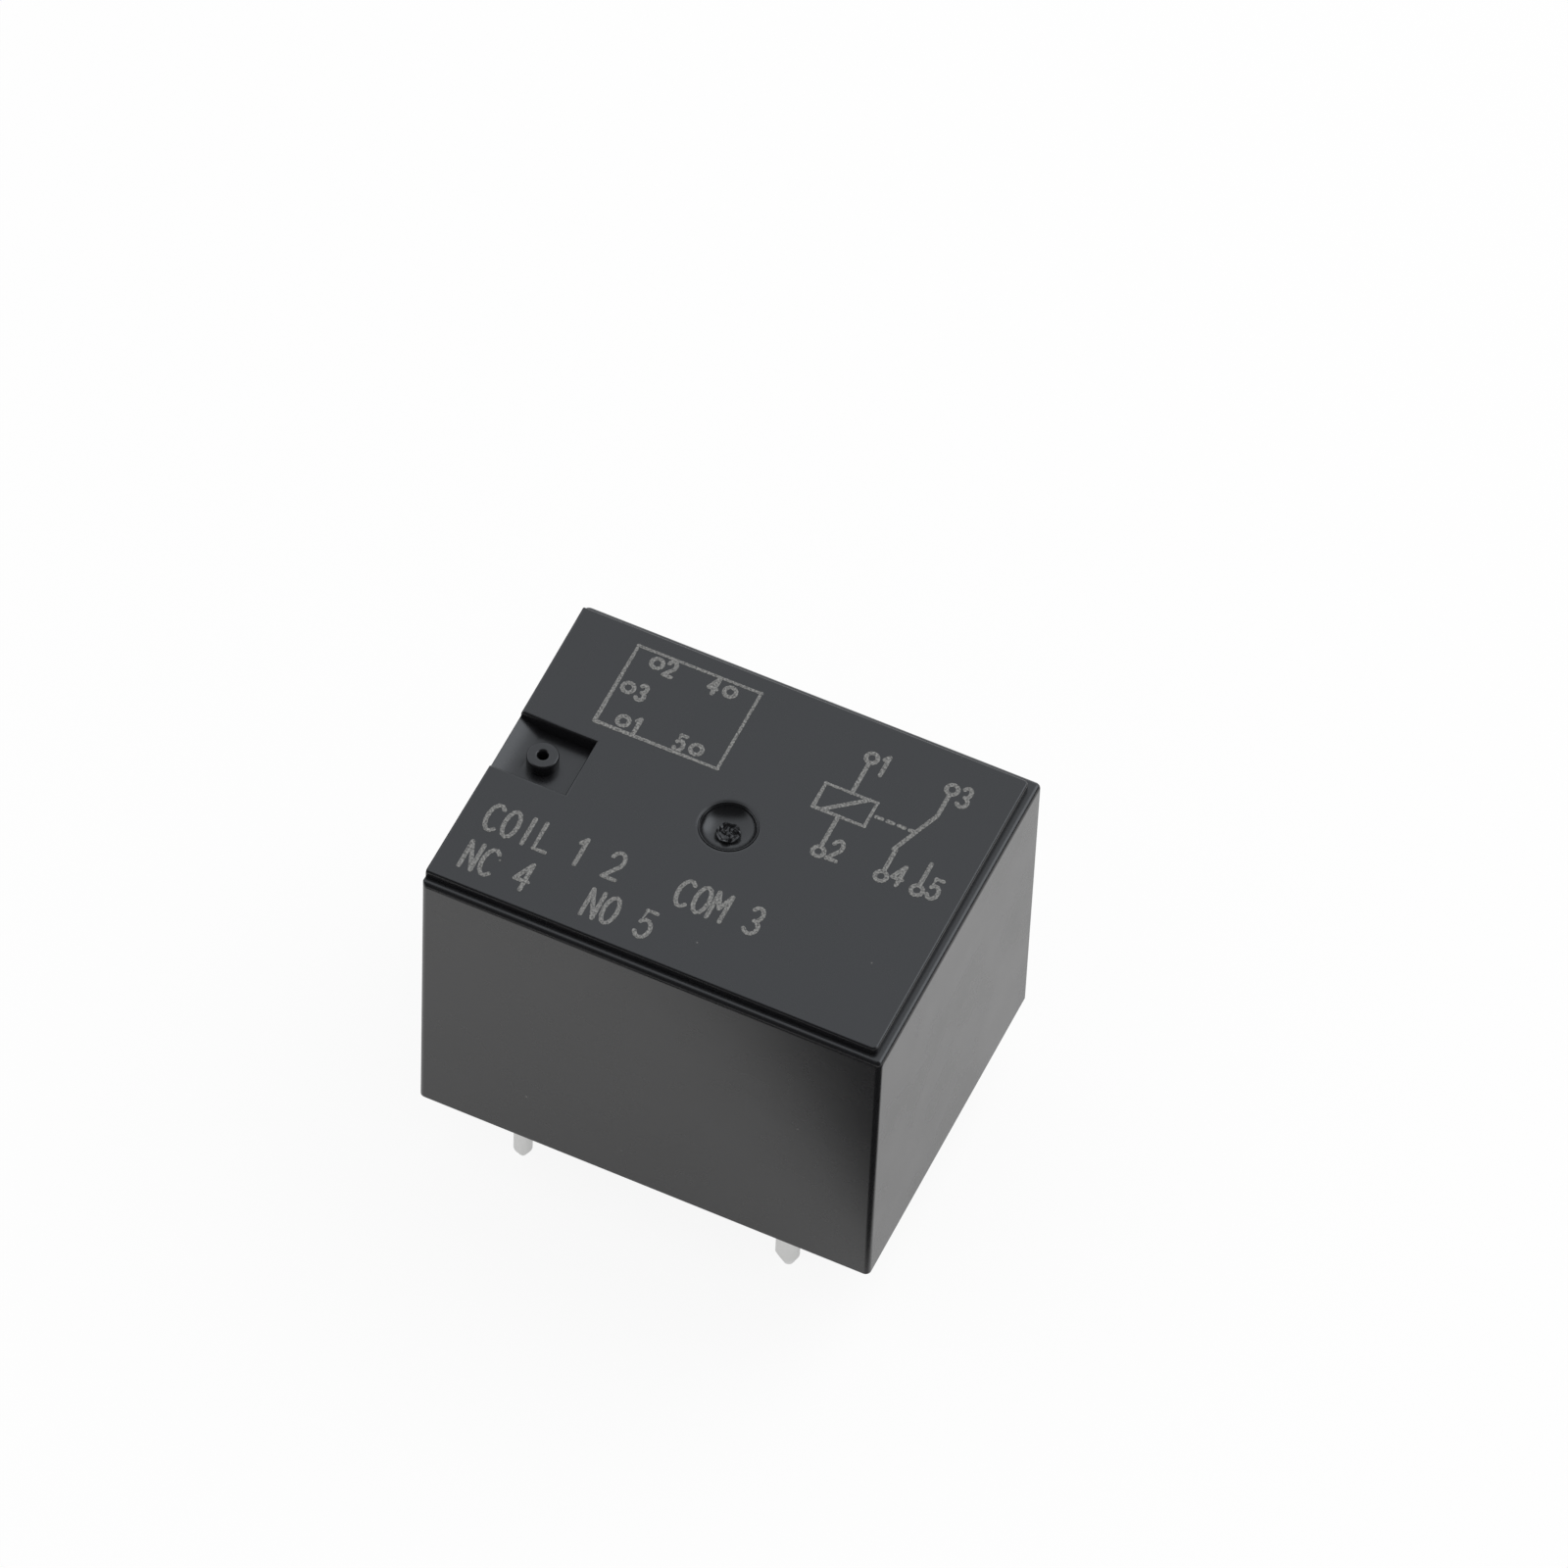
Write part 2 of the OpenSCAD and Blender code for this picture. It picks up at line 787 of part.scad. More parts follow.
module moving_spring() {
    window_w = 2.2;
    window_x = 2.4;
    window_z = 2;
    color(brass_sheet)
        difference() {
            translate([hinge_x, 0, pole_z])
                intersection() {
                    rotate([90, 0, 0])
                        linear_extrude(spring_w, center = true)
                            spring_side();
                    translate([0, 0, -spring_leg - cut])
                        linear_extrude(spring_leg + 4 * armature_t + 2 * cut)
                            spring_plan();
                }
            translate([hinge_x - cut, -window_w / 2, pole_z - window_z])
                cube([window_x + cut, window_w, window_z + 3 * armature_t]);
            released() {
                rivet_holes(arm_top - cut, spring_t + 2 * cut);
                translate([lever, 0, arm_top - cut])
                    cylinder(d = shank_d + 2 * fit_gap, h = spring_t + 2 * cut);
            }
            for (s = [-1, 1])
                translate([hinge_x - cut, s * yoke_rivet_y, yoke_rivet_z])
                    rotate([0, 90, 0])
                        cylinder(d = shank_d + 2 * fit_gap, h = 2 * cut);
        }
}

// Half section of a contact head, flat at z = 0 and domed at the top
module contact_head() {
    intersection() {
        square([contact_d / 2, contact_h]);
        translate([0, contact_h - contact_dome_r])
            circle(contact_dome_r, $fn = 256);
    }
}

module moving_contact() {
    color(silver)
        released()
            translate([lever, 0, arm_top])
                rotate_extrude() {
                    translate([0, spring_t])
                        contact_head();
                    mirror([0, 1])
                        contact_head();
                    square([shank_d / 2, spring_t]);
                }
}

// Contact head on one side of a terminal's tab, shank through it and rivet head on the other side
module fixed_contact() {
    color(silver)
        rotate_extrude() {
            contact_head();
            translate([0, -terminal_t])
                square([shank_d / 2, terminal_t]);
            translate([0, -terminal_t - rivet_h])
                square([rivet_d / 2, rivet_h]);
        }
}

// Side view of a terminal: leg up from its foot at the origin, bent over towards -X into the tab
module terminal_side(h, reach) {
    r = 0.4;
    turn = r + terminal_t;
    square([terminal_t, h - turn]);
    translate([-r, h - turn])
        mirror([1, 0])
            mirror([0, 1])
                bend(r, terminal_t);
    translate([-reach, h - terminal_t])
        square([reach - r, terminal_t]);
}

// Pin folded double from the terminal's sheet, with its seam towards -X
module folded_pin() {
    seam_w = 0.06;
    reach = norm([contact_pin_w, contact_pin_w]) / 2;
    intersection() {
        linear_extrude(floor_z)
            difference() {
                contact_pin_section();
                translate([-contact_pin_w, -seam_w / 2])
                    square([contact_pin_w * 1.2, seam_w]);
            }
        rotate_extrude()
            polygon([
                [0, 0],
                [contact_pin_w / 4, 0],
                [reach, 2 * tip_l],
                [reach, floor_z],
                [0, floor_z]
            ]);
    }
}

// Contact terminal on the +Y side, with its tab's lower face at tab_z
module contact_terminal(tab_z) {
    reach = pin_y + terminal_w / 2;
    color(brass_sheet)
        difference() {
            translate([contact_x, pin_y, 0]) {
                folded_pin();
                translate([0, 0, floor_z])
                    rotate([90, 0, 90])
                        linear_extrude(terminal_w, center = true)
                            terminal_side(tab_z + terminal_t - floor_z, reach);
            }
            translate([contact_x, 0, tab_z - cut])
                cylinder(d = shank_d + 2 * fit_gap, h = terminal_t + 2 * cut);
        }
}

module nc_terminal() {
    contact_terminal(nc_tab_z);
}

module nc_contact() {
    translate([contact_x, 0, nc_tab_z])
        mirror([0, 0, 1])
            fixed_contact();
}

module no_terminal() {
    mirror([0, 1, 0])
        contact_terminal(no_tab_z);
}

module no_contact() {
    translate([contact_x, 0, no_tab_z + terminal_t])
        fixed_contact();
}

cover();
base();
sealing_compound();
bobbin();
coil_winding();
core();
yoke();
yoke_rivets();
coil_pin_front();
coil_pin_rear();
com_terminal();
armature();
armature_rivets();
moving_spring();
moving_contact();
nc_terminal();
nc_contact();
no_terminal();
no_contact();
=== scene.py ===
# %% [markdown]
# # A sealed power relay for circuit boards
#
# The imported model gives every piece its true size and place. This lesson dresses it: the black moulded
# cover with its raised panel, the base with its sealing wells, the cured resin, the tinned pins, and the
# magnet and contacts that work inside. Everything is in the frame of the CAD model, with the pin tips on
# the floor.

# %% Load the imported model
import math

import bmesh
import bpy
from mathutils import Matrix, Vector, noise
from mathutils.kdtree import KDTree


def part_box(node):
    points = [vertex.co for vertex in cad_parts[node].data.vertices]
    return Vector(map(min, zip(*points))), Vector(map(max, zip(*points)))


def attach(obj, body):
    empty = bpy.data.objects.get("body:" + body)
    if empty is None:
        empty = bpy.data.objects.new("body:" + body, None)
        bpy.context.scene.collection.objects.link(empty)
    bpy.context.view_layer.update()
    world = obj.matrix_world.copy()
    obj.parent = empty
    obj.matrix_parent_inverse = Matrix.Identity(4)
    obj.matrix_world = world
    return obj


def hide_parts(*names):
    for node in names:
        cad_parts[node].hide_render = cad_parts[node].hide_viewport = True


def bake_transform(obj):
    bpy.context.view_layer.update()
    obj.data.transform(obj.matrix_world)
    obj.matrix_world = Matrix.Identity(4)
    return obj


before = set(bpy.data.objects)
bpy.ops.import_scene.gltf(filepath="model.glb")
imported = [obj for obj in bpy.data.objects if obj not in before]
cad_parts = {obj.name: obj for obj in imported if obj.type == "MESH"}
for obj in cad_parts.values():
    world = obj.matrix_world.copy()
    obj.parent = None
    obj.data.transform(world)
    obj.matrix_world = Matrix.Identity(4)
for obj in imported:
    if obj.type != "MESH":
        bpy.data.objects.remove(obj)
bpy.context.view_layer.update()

# %% [markdown]
# ## Camera
#
# The relay was photographed with a long lens from about 54 degrees above the table. A long lens keeps
# upright edges almost parallel. The angles below were fitted to the corners of the case, and the camera
# aims a little beside the middle of the pin tips, because the relay does not lie in the middle of the
# picture.

# %% Camera
MM = 0.001
PHOTO_SIDE = 1600
FOCAL_PIXELS = 14000
SENSOR = 36.0
AZIMUTH = math.radians(22.84)
ELEVATION = math.radians(53.965)
ROLL = math.radians(2.715)
AIM_RIGHT = 2.610 * MM
AIM_UP = 13.224 * MM
DISTANCE = 572.169 * MM
CLIP_START = 10 * MM


def add_camera():
    """Places the camera from its angles, its distance and the point that it aims at."""
    flat = math.cos(ELEVATION)
    back = Vector((math.sin(AZIMUTH) * flat, -math.cos(AZIMUTH) * flat, math.sin(ELEVATION)))
    level_right = Vector((math.cos(AZIMUTH), math.sin(AZIMUTH), 0))
    level_up = back.cross(level_right)
    right = level_right * math.cos(ROLL) + level_up * math.sin(ROLL)
    up = level_up * math.cos(ROLL) - level_right * math.sin(ROLL)
    place = right * AIM_RIGHT + up * AIM_UP + back * DISTANCE
    camera = bpy.data.objects.new("camera", bpy.data.cameras.new("camera"))
    camera.matrix_world = Matrix((right, up, back)).transposed().to_4x4()
    camera.location = place
    camera.data.sensor_width = SENSOR
    camera.data.lens = FOCAL_PIXELS / PHOTO_SIDE * SENSOR
    camera.data.clip_start = CLIP_START
    bpy.context.scene.collection.objects.link(camera)
    bpy.context.scene.camera = camera
    return camera


camera = add_camera()
print("camera at", camera.location[:], "lens", camera.data.lens)

# %% [markdown]
# ## Studio
#
# Black glossy plastic shows little of its own colour. What one sees is the studio in it: a white tent with
# a dark opening in front, and a soft box above a dark slit at the right. The world holds that picture for
# glossy rays, stays plain white for the camera, and gives an even light to everything that scatters. A soft
# lamp overhead brings the light to a plain level. One dark card lies on the table in front, where only
# reflections see it: it stands in for shade on the table, and paints a darker reflection into one corner of
# the front face.

# %% Node helper
def node(tree, kind, inputs=None, **settings):
    """Adds a node, with its settings, and fills or links its inputs."""
    made = tree.nodes.new(kind)
    for name, value in settings.items():
        setattr(made, name, value)
    for key, value in (inputs or {}).items():
        if isinstance(value, bpy.types.NodeSocket):
            tree.links.new(value, made.inputs[key])
        else:
            made.inputs[key].default_value = value
    return made


def maths(tree, operation, *values):
    """The result of a Math node with these inputs."""
    return node(tree, "ShaderNodeMath", dict(enumerate(values)), operation=operation).outputs[0]


def link(tree, source, target):
    """Links an output to an input."""
    tree.links.new(source, target)


def ray_kinds(tree):
    """Two sockets: rays from the camera, and rays off a mirror or through glass."""
    path = node(tree, "ShaderNodeLightPath").outputs
    mirrored = maths(tree, "MAXIMUM", path["Is Glossy Ray"], path["Is Transmission Ray"])
    return path["Is Camera Ray"], mirrored


def bare_material(name):
    """A material with an empty tree."""
    material = bpy.data.materials.new(name)
    material.use_nodes = True
    material.node_tree.nodes.clear()
    return material, material.node_tree


# %% World
# Each patch of the tent: where it lies, the cosines between which it sets in, and its level.
PATCHES = [
    ((0.587, 0.542, 0.600), (0.90, 0.955), 2.2),
    ((0.830, 0.542, 0.120), (0.95, 0.975), 0.04),
    ((0.338, -0.802, 0.500), (0.35, 0.65), 0.03),
]
TENT_LEVEL = 1.0
TENT_TINT = (0.95, 1.0, 1.06, 1.0)
WHITE = (1.0, 1.0, 1.0, 1.0)
SCATTER_LIGHT = 0.7


def add_world():
    """White for the camera, a white tent with a dark opening for reflections, an even light for the rest."""
    world = bpy.data.worlds.new("studio")
    world.use_nodes = True
    tree = world.node_tree
    tree.nodes.clear()
    direction = node(tree, "ShaderNodeTexCoord").outputs["Generated"]
    inside = TENT_LEVEL
    for axis, edge, level in PATCHES:
        facing = node(tree, "ShaderNodeVectorMath", {
            0: direction, 1: Vector(axis).normalized()}, operation="DOT_PRODUCT").outputs["Value"]
        patch = node(tree, "ShaderNodeMapRange", {
            "Value": facing,
            "From Min": edge[0],
            "From Max": edge[1],
        }, interpolation_type="SMOOTHSTEP").outputs["Result"]
        inside = node(tree, "ShaderNodeMix", {0: patch, 2: inside, 3: level}).outputs[0]
    seen, mirrored = ray_kinds(tree)
    scattered = node(tree, "ShaderNodeMix", {0: mirrored, 2: SCATTER_LIGHT, 3: inside}).outputs[0]
    strength = node(tree, "ShaderNodeMix", {0: seen, 2: scattered, 3: 1.0}).outputs[0]
    colour = node(tree, "ShaderNodeMix", {0: mirrored, 6: WHITE, 7: TENT_TINT}, data_type="RGBA").outputs[2]
    background = node(tree, "ShaderNodeBackground", {"Color": colour, "Strength": strength})
    output = node(tree, "ShaderNodeOutputWorld")
    link(tree, background.outputs[0], output.inputs["Surface"])
    bpy.context.scene.world = world


add_world()
bpy.context.scene.view_settings.view_transform = "Standard"

# %% Lamp
LAMP_AXIS = Vector((0.35, 0.4, 0.85)).normalized()
LAMP_HEIGHT = 420 * MM
LAMP_SIZE = 360 * MM
LAMP_LEVEL = 0.4


def add_lamp():
    """A wide soft lamp overhead; reflections see the tent in its place."""
    data = bpy.data.lights.new("overhead", "AREA")
    data.shape = "DISK"
    data.size = LAMP_SIZE
    data.energy = LAMP_LEVEL * math.pi ** 2 * LAMP_HEIGHT ** 2
    lamp = bpy.data.objects.new("overhead", data)
    lamp.location = LAMP_AXIS * LAMP_HEIGHT / LAMP_AXIS.z
    lamp.rotation_mode = "QUATERNION"
    lamp.rotation_quaternion = LAMP_AXIS.to_track_quat("Z", "Y")
    lamp.visible_glossy = False
    bpy.context.scene.collection.objects.link(lamp)


add_lamp()

# %% Table and card
TABLE_HALF = 1.5
FLOOR_GLOW = 0.9
MIRROR_GLOW = 0.4
# The card's edge, softness and black: a dark sheet that stands in for shade on the table and paints a
# reflection of it into the front face.
CARD_EDGE_A = (-1.3 * MM, -19.5 * MM)
CARD_EDGE_B = (5.8 * MM, -13.4 * MM)
CARD_SOFT = 3.0 * MM
CARD_REACH = 60 * MM
CARD_LIFT = 0.05 * MM
SHADE_REFLECTION_BLACK = (0.01, 0.01, 0.01, 1.0)


def sheet(name, corners, material):
    """A flat four-sided sheet for the stage."""
    mesh = bpy.data.meshes.new(name)
    mesh.from_pydata(corners, [], [(0, 1, 2, 3)])
    made = bpy.data.objects.new(name, mesh)
    mesh.materials.append(material)
    bpy.context.scene.collection.objects.link(made)
    return made


def table_material():
    """White from above, with a soft shadow, and clear from below, so that the underside can be looked at."""
    material, tree = bare_material("table_white")
    lit = node(tree, "ShaderNodeBsdfDiffuse", {"Color": WHITE})
    glow = node(tree, "ShaderNodeEmission", {"Color": WHITE, "Strength": 1.0})
    seen, mirrored = ray_kinds(tree)
    for_camera = maths(tree, "MULTIPLY", seen, FLOOR_GLOW)
    share = maths(tree, "MAXIMUM", for_camera, maths(tree, "MULTIPLY", mirrored, MIRROR_GLOW))
    white = node(tree, "ShaderNodeMixShader", {0: share, 1: lit.outputs[0], 2: glow.outputs[0]})
    clear = node(tree, "ShaderNodeBsdfTransparent")
    behind = node(tree, "ShaderNodeNewGeometry").outputs["Backfacing"]
    mixed = node(tree, "ShaderNodeMixShader", {0: behind, 1: white.outputs[0], 2: clear.outputs[0]})
    output = node(tree, "ShaderNodeOutputMaterial")
    link(tree, mixed.outputs[0], output.inputs["Surface"])
    return material


def card_material(normal, offset):
    """Black, fading out towards the card's edge: a painted reflection of shade, seen only in reflections."""
    material, tree = bare_material("painted_shade_reflection")
    coords = node(tree, "ShaderNodeTexCoord").outputs["Object"]
    along = node(tree, "ShaderNodeVectorMath", {0: coords, 1: normal}, operation="DOT_PRODUCT")
    cover = node(tree, "ShaderNodeMapRange", {
        "Value": along.outputs["Value"],
        "From Min": offset,
        "From Max": offset + CARD_SOFT,
    }, interpolation_type="SMOOTHSTEP").outputs["Result"]
    black = node(tree, "ShaderNodeBsdfDiffuse", {"Color": SHADE_REFLECTION_BLACK})
    clear = node(tree, "ShaderNodeBsdfTransparent")
    mixed = node(tree, "ShaderNodeMixShader", {0: cover, 1: clear.outputs[0], 2: black.outputs[0]})
    output = node(tree, "ShaderNodeOutputMaterial")
    link(tree, mixed.outputs[0], output.inputs["Surface"])
    return material


def add_table():
    """The white table, and the dark card that only reflections see: it paints a reflection of shade into the
    front face.
    """
    half = TABLE_HALF
    sheet("table", [(-half, -half, 0), (half, -half, 0), (half, half, 0), (-half, half, 0)], table_material())
    a = Vector((*CARD_EDGE_A, CARD_LIFT))
    b = Vector((*CARD_EDGE_B, CARD_LIFT))
    along = (b - a).normalized()
    out = Vector((along.y, -along.x, 0))
    start = a - along * CARD_REACH
    end = b + along * CARD_REACH
    corners = [start, start + out * CARD_REACH, end + out * CARD_REACH, end]
    card = sheet("card", corners, card_material(out, out.dot(a)))
    # Hidden from the camera, from scattered light and from shadows, so the card only paints a reflection of
    # shade.
    card.visible_camera = False
    card.visible_diffuse = False
    card.visible_shadow = False
    card.visible_transmission = False


add_table()
print("studio: world, lamp, table and card")

# %% [markdown]
# ## Finishes
#
# A moulded surface is never perfectly even: the tool leaves a fine grain, the wall sinks a little as it
# cools, and fingers leave patches with more or less gloss. These effects are shared, so each is a node
# group with its own inputs. The heights are real ones, in metres, and go through a Bump node.

# %% Groups of shader nodes
def new_group(name, inputs, outputs):
    """An empty shader group with float inputs and outputs, besides the vector that it reads."""
    group = bpy.data.node_groups.new(name, "ShaderNodeTree")
    group.interface.new_socket(name="Vector", in_out="INPUT", socket_type="NodeSocketVector")
    for key in inputs:
        group.interface.new_socket(name=key, in_out="INPUT", socket_type="NodeSocketFloat")
    for key in outputs:
        group.interface.new_socket(name=key, in_out="OUTPUT", socket_type="NodeSocketFloat")
    source = group.nodes.new("NodeGroupInput").outputs
    target = group.nodes.new("NodeGroupOutput").inputs
    return group, source, target


def centred_noise(tree, vector, scale, detail, depth):
    """Noise between minus and plus half of a depth."""
    texture = node(tree, "ShaderNodeTexNoise", {"Vector": vector, "Scale": scale, "Detail": detail})
    return maths(tree, "MULTIPLY", maths(tree, "SUBTRACT", texture.outputs["Fac"], 0.5), depth)


def moulded_skin_group():
    """Grain and sinking of a moulded wall, and patches of more or less gloss."""
    group, source, target = new_group(
        "moulded skin",
        ("Grain scale", "Grain depth", "Wave scale", "Wave depth", "Patch scale", "Patch gloss"),
        ("Height", "Gloss change"),
    )
    grain = centred_noise(group, source["Vector"], source["Grain scale"], 3.0, source["Grain depth"])
    wave = centred_noise(group, source["Vector"], source["Wave scale"], 1.0, source["Wave depth"])
    link(group, maths(group, "ADD", grain, wave), target["Height"])
    patch = centred_noise(group, source["Vector"], source["Patch scale"], 4.0, source["Patch gloss"])
    link(group, patch, target["Gloss change"])
    return group


def dust_group():
    """Small pale specks: the middles of random cells that happen to touch the surface."""
    group, source, target = new_group("dust", ("Scale", "Size", "Share"), ("Mask",))
    cells = node(group, "ShaderNodeTexVoronoi", {"Vector": source["Vector"], "Scale": source["Scale"]})
    chance = node(group, "ShaderNodeSeparateColor", {0: cells.outputs["Color"]}).outputs
    chosen = maths(group, "LESS_THAN", chance[0], source["Share"])
    reach = maths(group, "MULTIPLY", chance[1], source["Size"])
    near = maths(group, "SUBTRACT", 1.0, maths(group, "DIVIDE", cells.outputs["Distance"], reach))
    speck = maths(group, "MAXIMUM", 0.0, near)
    link(group, maths(group, "MULTIPLY", chosen, speck), target["Mask"])
    return group


def rolled_metal_group():
    """Fine lines along one direction, and cloudy dull patches, as on drawn wire and rolled strip."""
    group, source, target = new_group(
        "rolled metal",
        ("Line scale", "Line depth", "Cloud scale", "Cloud gloss"),
        ("Height", "Gloss change", "Tone"),
    )
    lines = centred_noise(group, source["Vector"], source["Line scale"], 2.0, source["Line depth"])
    link(group, lines, target["Height"])
    cloud = centred_noise(group, source["Vector"], source["Cloud scale"], 5.0, source["Cloud gloss"])
    link(group, cloud, target["Gloss change"])
    tone = node(group, "ShaderNodeTexNoise", {"Vector": source["Vector"], "Scale": source["Cloud scale"]})
    link(group, tone.outputs["Fac"], target["Tone"])
    return group


MOULDED_SKIN = moulded_skin_group()
DUST = dust_group()
ROLLED_METAL = rolled_metal_group()

# %% [markdown]
# ### Black mouldings and resin
#
# Cover, base and resin are all black, and differ in gloss: the cover is satin, the base a little shinier,
# and the resin looks wet. A few specks of dust lie on all three.

# %% Plastic finishes
PLASTIC_IOR = 1.6
DUST_GREY = (0.22, 0.215, 0.20, 1)
DUST_DULL = 0.4


def new_material(name, roughness):
    """A material with its Principled shader, its tree and its Object coordinates."""
    material = bpy.data.materials.new(name)
    material.use_nodes = True
    tree = material.node_tree
    surface = tree.nodes["Principled BSDF"]
    surface.inputs["Roughness"].default_value = roughness
    coords = node(tree, "ShaderNodeTexCoord").outputs["Object"]
    return material, tree, surface, coords


def add_bump(tree, surface, height):
    """Feeds a height in metres to the shader's normal."""
    bump = node(tree, "ShaderNodeBump", {"Height": height, "Strength": 1.0, "Distance": 1.0})
    link(tree, bump.outputs["Normal"], surface.inputs["Normal"])


def moulded_plastic(name, colour, roughness, skin, dust):
    """A moulded plastic: grain, sinking, patches of gloss, and dust."""
    material, tree, surface, coords = new_material(name, roughness)
    surface.inputs["IOR"].default_value = PLASTIC_IOR
    grain = node(tree, "ShaderNodeGroup", {"Vector": coords, **skin}, node_tree=MOULDED_SKIN)
    specks = node(tree, "ShaderNodeGroup", {"Vector": coords, **dust}, node_tree=DUST)
    mask = specks.outputs["Mask"]
    tint = node(tree, "ShaderNodeMix", {0: mask, 6: (*colour, 1), 7: DUST_GREY}, data_type="RGBA")
    link(tree, tint.outputs[2], surface.inputs["Base Color"])
    gloss = maths(tree, "ADD", roughness, grain.outputs["Gloss change"])
    dull = maths(tree, "ADD", gloss, maths(tree, "MULTIPLY", mask, DUST_DULL))
    link(tree, dull, surface.inputs["Roughness"])
    add_bump(tree, surface, grain.outputs["Height"])
    return material


case_black = moulded_plastic(
    "case_black", (0.008, 0.008, 0.009), 0.27,
    {"Grain scale": 9000, "Grain depth": 0.8e-6, "Wave scale": 260, "Wave depth": 8e-6,
     "Patch scale": 420, "Patch gloss": 0.08},
    {"Scale": 900, "Size": 0.06, "Share": 0.2},
)
base_black = moulded_plastic(
    "base_black", (0.008, 0.008, 0.009), 0.24,
    {"Grain scale": 7000, "Grain depth": 1.6e-6, "Wave scale": 380, "Wave depth": 7e-6,
     "Patch scale": 500, "Patch gloss": 0.14},
    {"Scale": 800, "Size": 0.14, "Share": 0.5},
)
resin_black = moulded_plastic(
    "resin_black", (0.006, 0.006, 0.007), 0.16,
    {"Grain scale": 2600, "Grain depth": 1.5e-6, "Wave scale": 700, "Wave depth": 16e-6,
     "Patch scale": 600, "Patch gloss": 0.10},
    {"Scale": 800, "Size": 0.16, "Share": 0.5},
)
bobbin_ivory = moulded_plastic(
    "bobbin_ivory", (0.66, 0.61, 0.48), 0.42,
    {"Grain scale": 6000, "Grain depth": 1.5e-6, "Wave scale": 300, "Wave depth": 6e-6,
     "Patch scale": 400, "Patch gloss": 0.12},
    {"Scale": 900, "Size": 0.08, "Share": 0.2},
)
print("plastics:", case_black.name, base_black.name, resin_black.name, bobbin_ivory.name)

# %% [markdown]
# ### Metals
#
# The pins are dipped in tin, which sets in soft cloudy patches. Iron parts are plated with nickel, the
# spring is a rolled strip of copper alloy, and the contacts are silver. The lines of rolling and drawing
# run one way, so the coordinates are stretched along that way before the noise is read.

# %% Metal finishes
def plain_metal(name, colour, darker, roughness, stretch, values):
    """A metal with rolling lines and cloudy gloss; stretch flattens the noise along the lines."""
    material, tree, surface, coords = new_material(name, roughness)
    surface.inputs["Metallic"].default_value = 1.0
    drawn = node(tree, "ShaderNodeMapping", {"Vector": coords, "Scale": stretch}).outputs[0]
    rolled = node(tree, "ShaderNodeGroup", {"Vector": drawn, **values}, node_tree=ROLLED_METAL)
    tone = node(tree, "ShaderNodeMix", {
        0: rolled.outputs["Tone"], 6: (*darker, 1), 7: (*colour, 1)}, data_type="RGBA")
    link(tree, tone.outputs[2], surface.inputs["Base Color"])
    link(tree, maths(tree, "ADD", roughness, rolled.outputs["Gloss change"]), surface.inputs["Roughness"])
    add_bump(tree, surface, rolled.outputs["Height"])
    return material


UPRIGHT = (1.0, 1.0, 0.12)
LENGTHWISE = (0.12, 1.0, 1.0)
EVEN = (1.0, 1.0, 1.0)

tin = plain_metal(
    "tin", (0.92, 0.92, 0.91), (0.74, 0.74, 0.73), 0.24, UPRIGHT,
    {"Line scale": 9000, "Line depth": 1.5e-6, "Cloud scale": 1800, "Cloud gloss": 0.2},
)
nickel = plain_metal(
    "nickel", (0.66, 0.65, 0.62), (0.50, 0.49, 0.46), 0.32, EVEN,
    {"Line scale": 5000, "Line depth": 2e-6, "Cloud scale": 900, "Cloud gloss": 0.2},
)
spring_copper = plain_metal(
    "spring_copper", (0.82, 0.50, 0.30), (0.62, 0.36, 0.20), 0.28, LENGTHWISE,
    {"Line scale": 9000, "Line depth": 1.2e-6, "Cloud scale": 900, "Cloud gloss": 0.15},
)
silver = plain_metal(
    "silver", (0.90, 0.89, 0.86), (0.72, 0.71, 0.67), 0.22, EVEN,
    {"Line scale": 6000, "Line depth": 1e-6, "Cloud scale": 1500, "Cloud gloss": 0.2},
)
enamel_wire = plain_metal(
    "enamel_wire", (0.72, 0.28, 0.10), (0.52, 0.17, 0.05), 0.26, EVEN,
    {"Line scale": 5000, "Line depth": 0.5e-6, "Cloud scale": 1200, "Cloud gloss": 0.1},
)
print("metals:", tin.name, nickel.name, spring_copper.name, silver.name, enamel_wire.name)

# %% [markdown]
# ## Workbench
#
# Pieces are made in millimetres, because Blender's modelling tools work best with sizes near 1, and are
# shrunk to metres when they are done. The helpers here make a piece from rings or from a turned outline,
# join and cut pieces, and round their edges. A small rounding matters more than any texture: it is what
# catches the light along an edge.

# %% Workbench helpers
def new_piece(name, points, faces):
    """A mesh object from points in millimetres."""
    mesh = bpy.data.meshes.new(name)
    mesh.from_pydata(points, [], faces)
    made = bpy.data.objects.new(name, mesh)
    bpy.context.scene.collection.objects.link(made)
    return made


def bake(piece):
    """Replaces a piece's mesh by what its modifiers make of it."""
    graph = bpy.context.evaluated_depsgraph_get()
    baked = bpy.data.meshes.new_from_object(
        piece.evaluated_get(graph), preserve_all_data_layers=True, depsgraph=graph)
    old = piece.data
    piece.modifiers.clear()
    piece.data = baked
    bpy.data.meshes.remove(old)


def combine(piece, tool, operation, crossing=False):
    """Cuts or joins with a tool, which is used up."""
    modifier = piece.modifiers.new("combine", "BOOLEAN")
    modifier.operation = operation
    modifier.object = tool
    modifier.solver = "EXACT"
    modifier.use_self = crossing
    bake(piece)
    bpy.data.objects.remove(tool)


SHARP = math.radians(33)
FLAT = math.radians(0.4)
MERGE = 0.0005


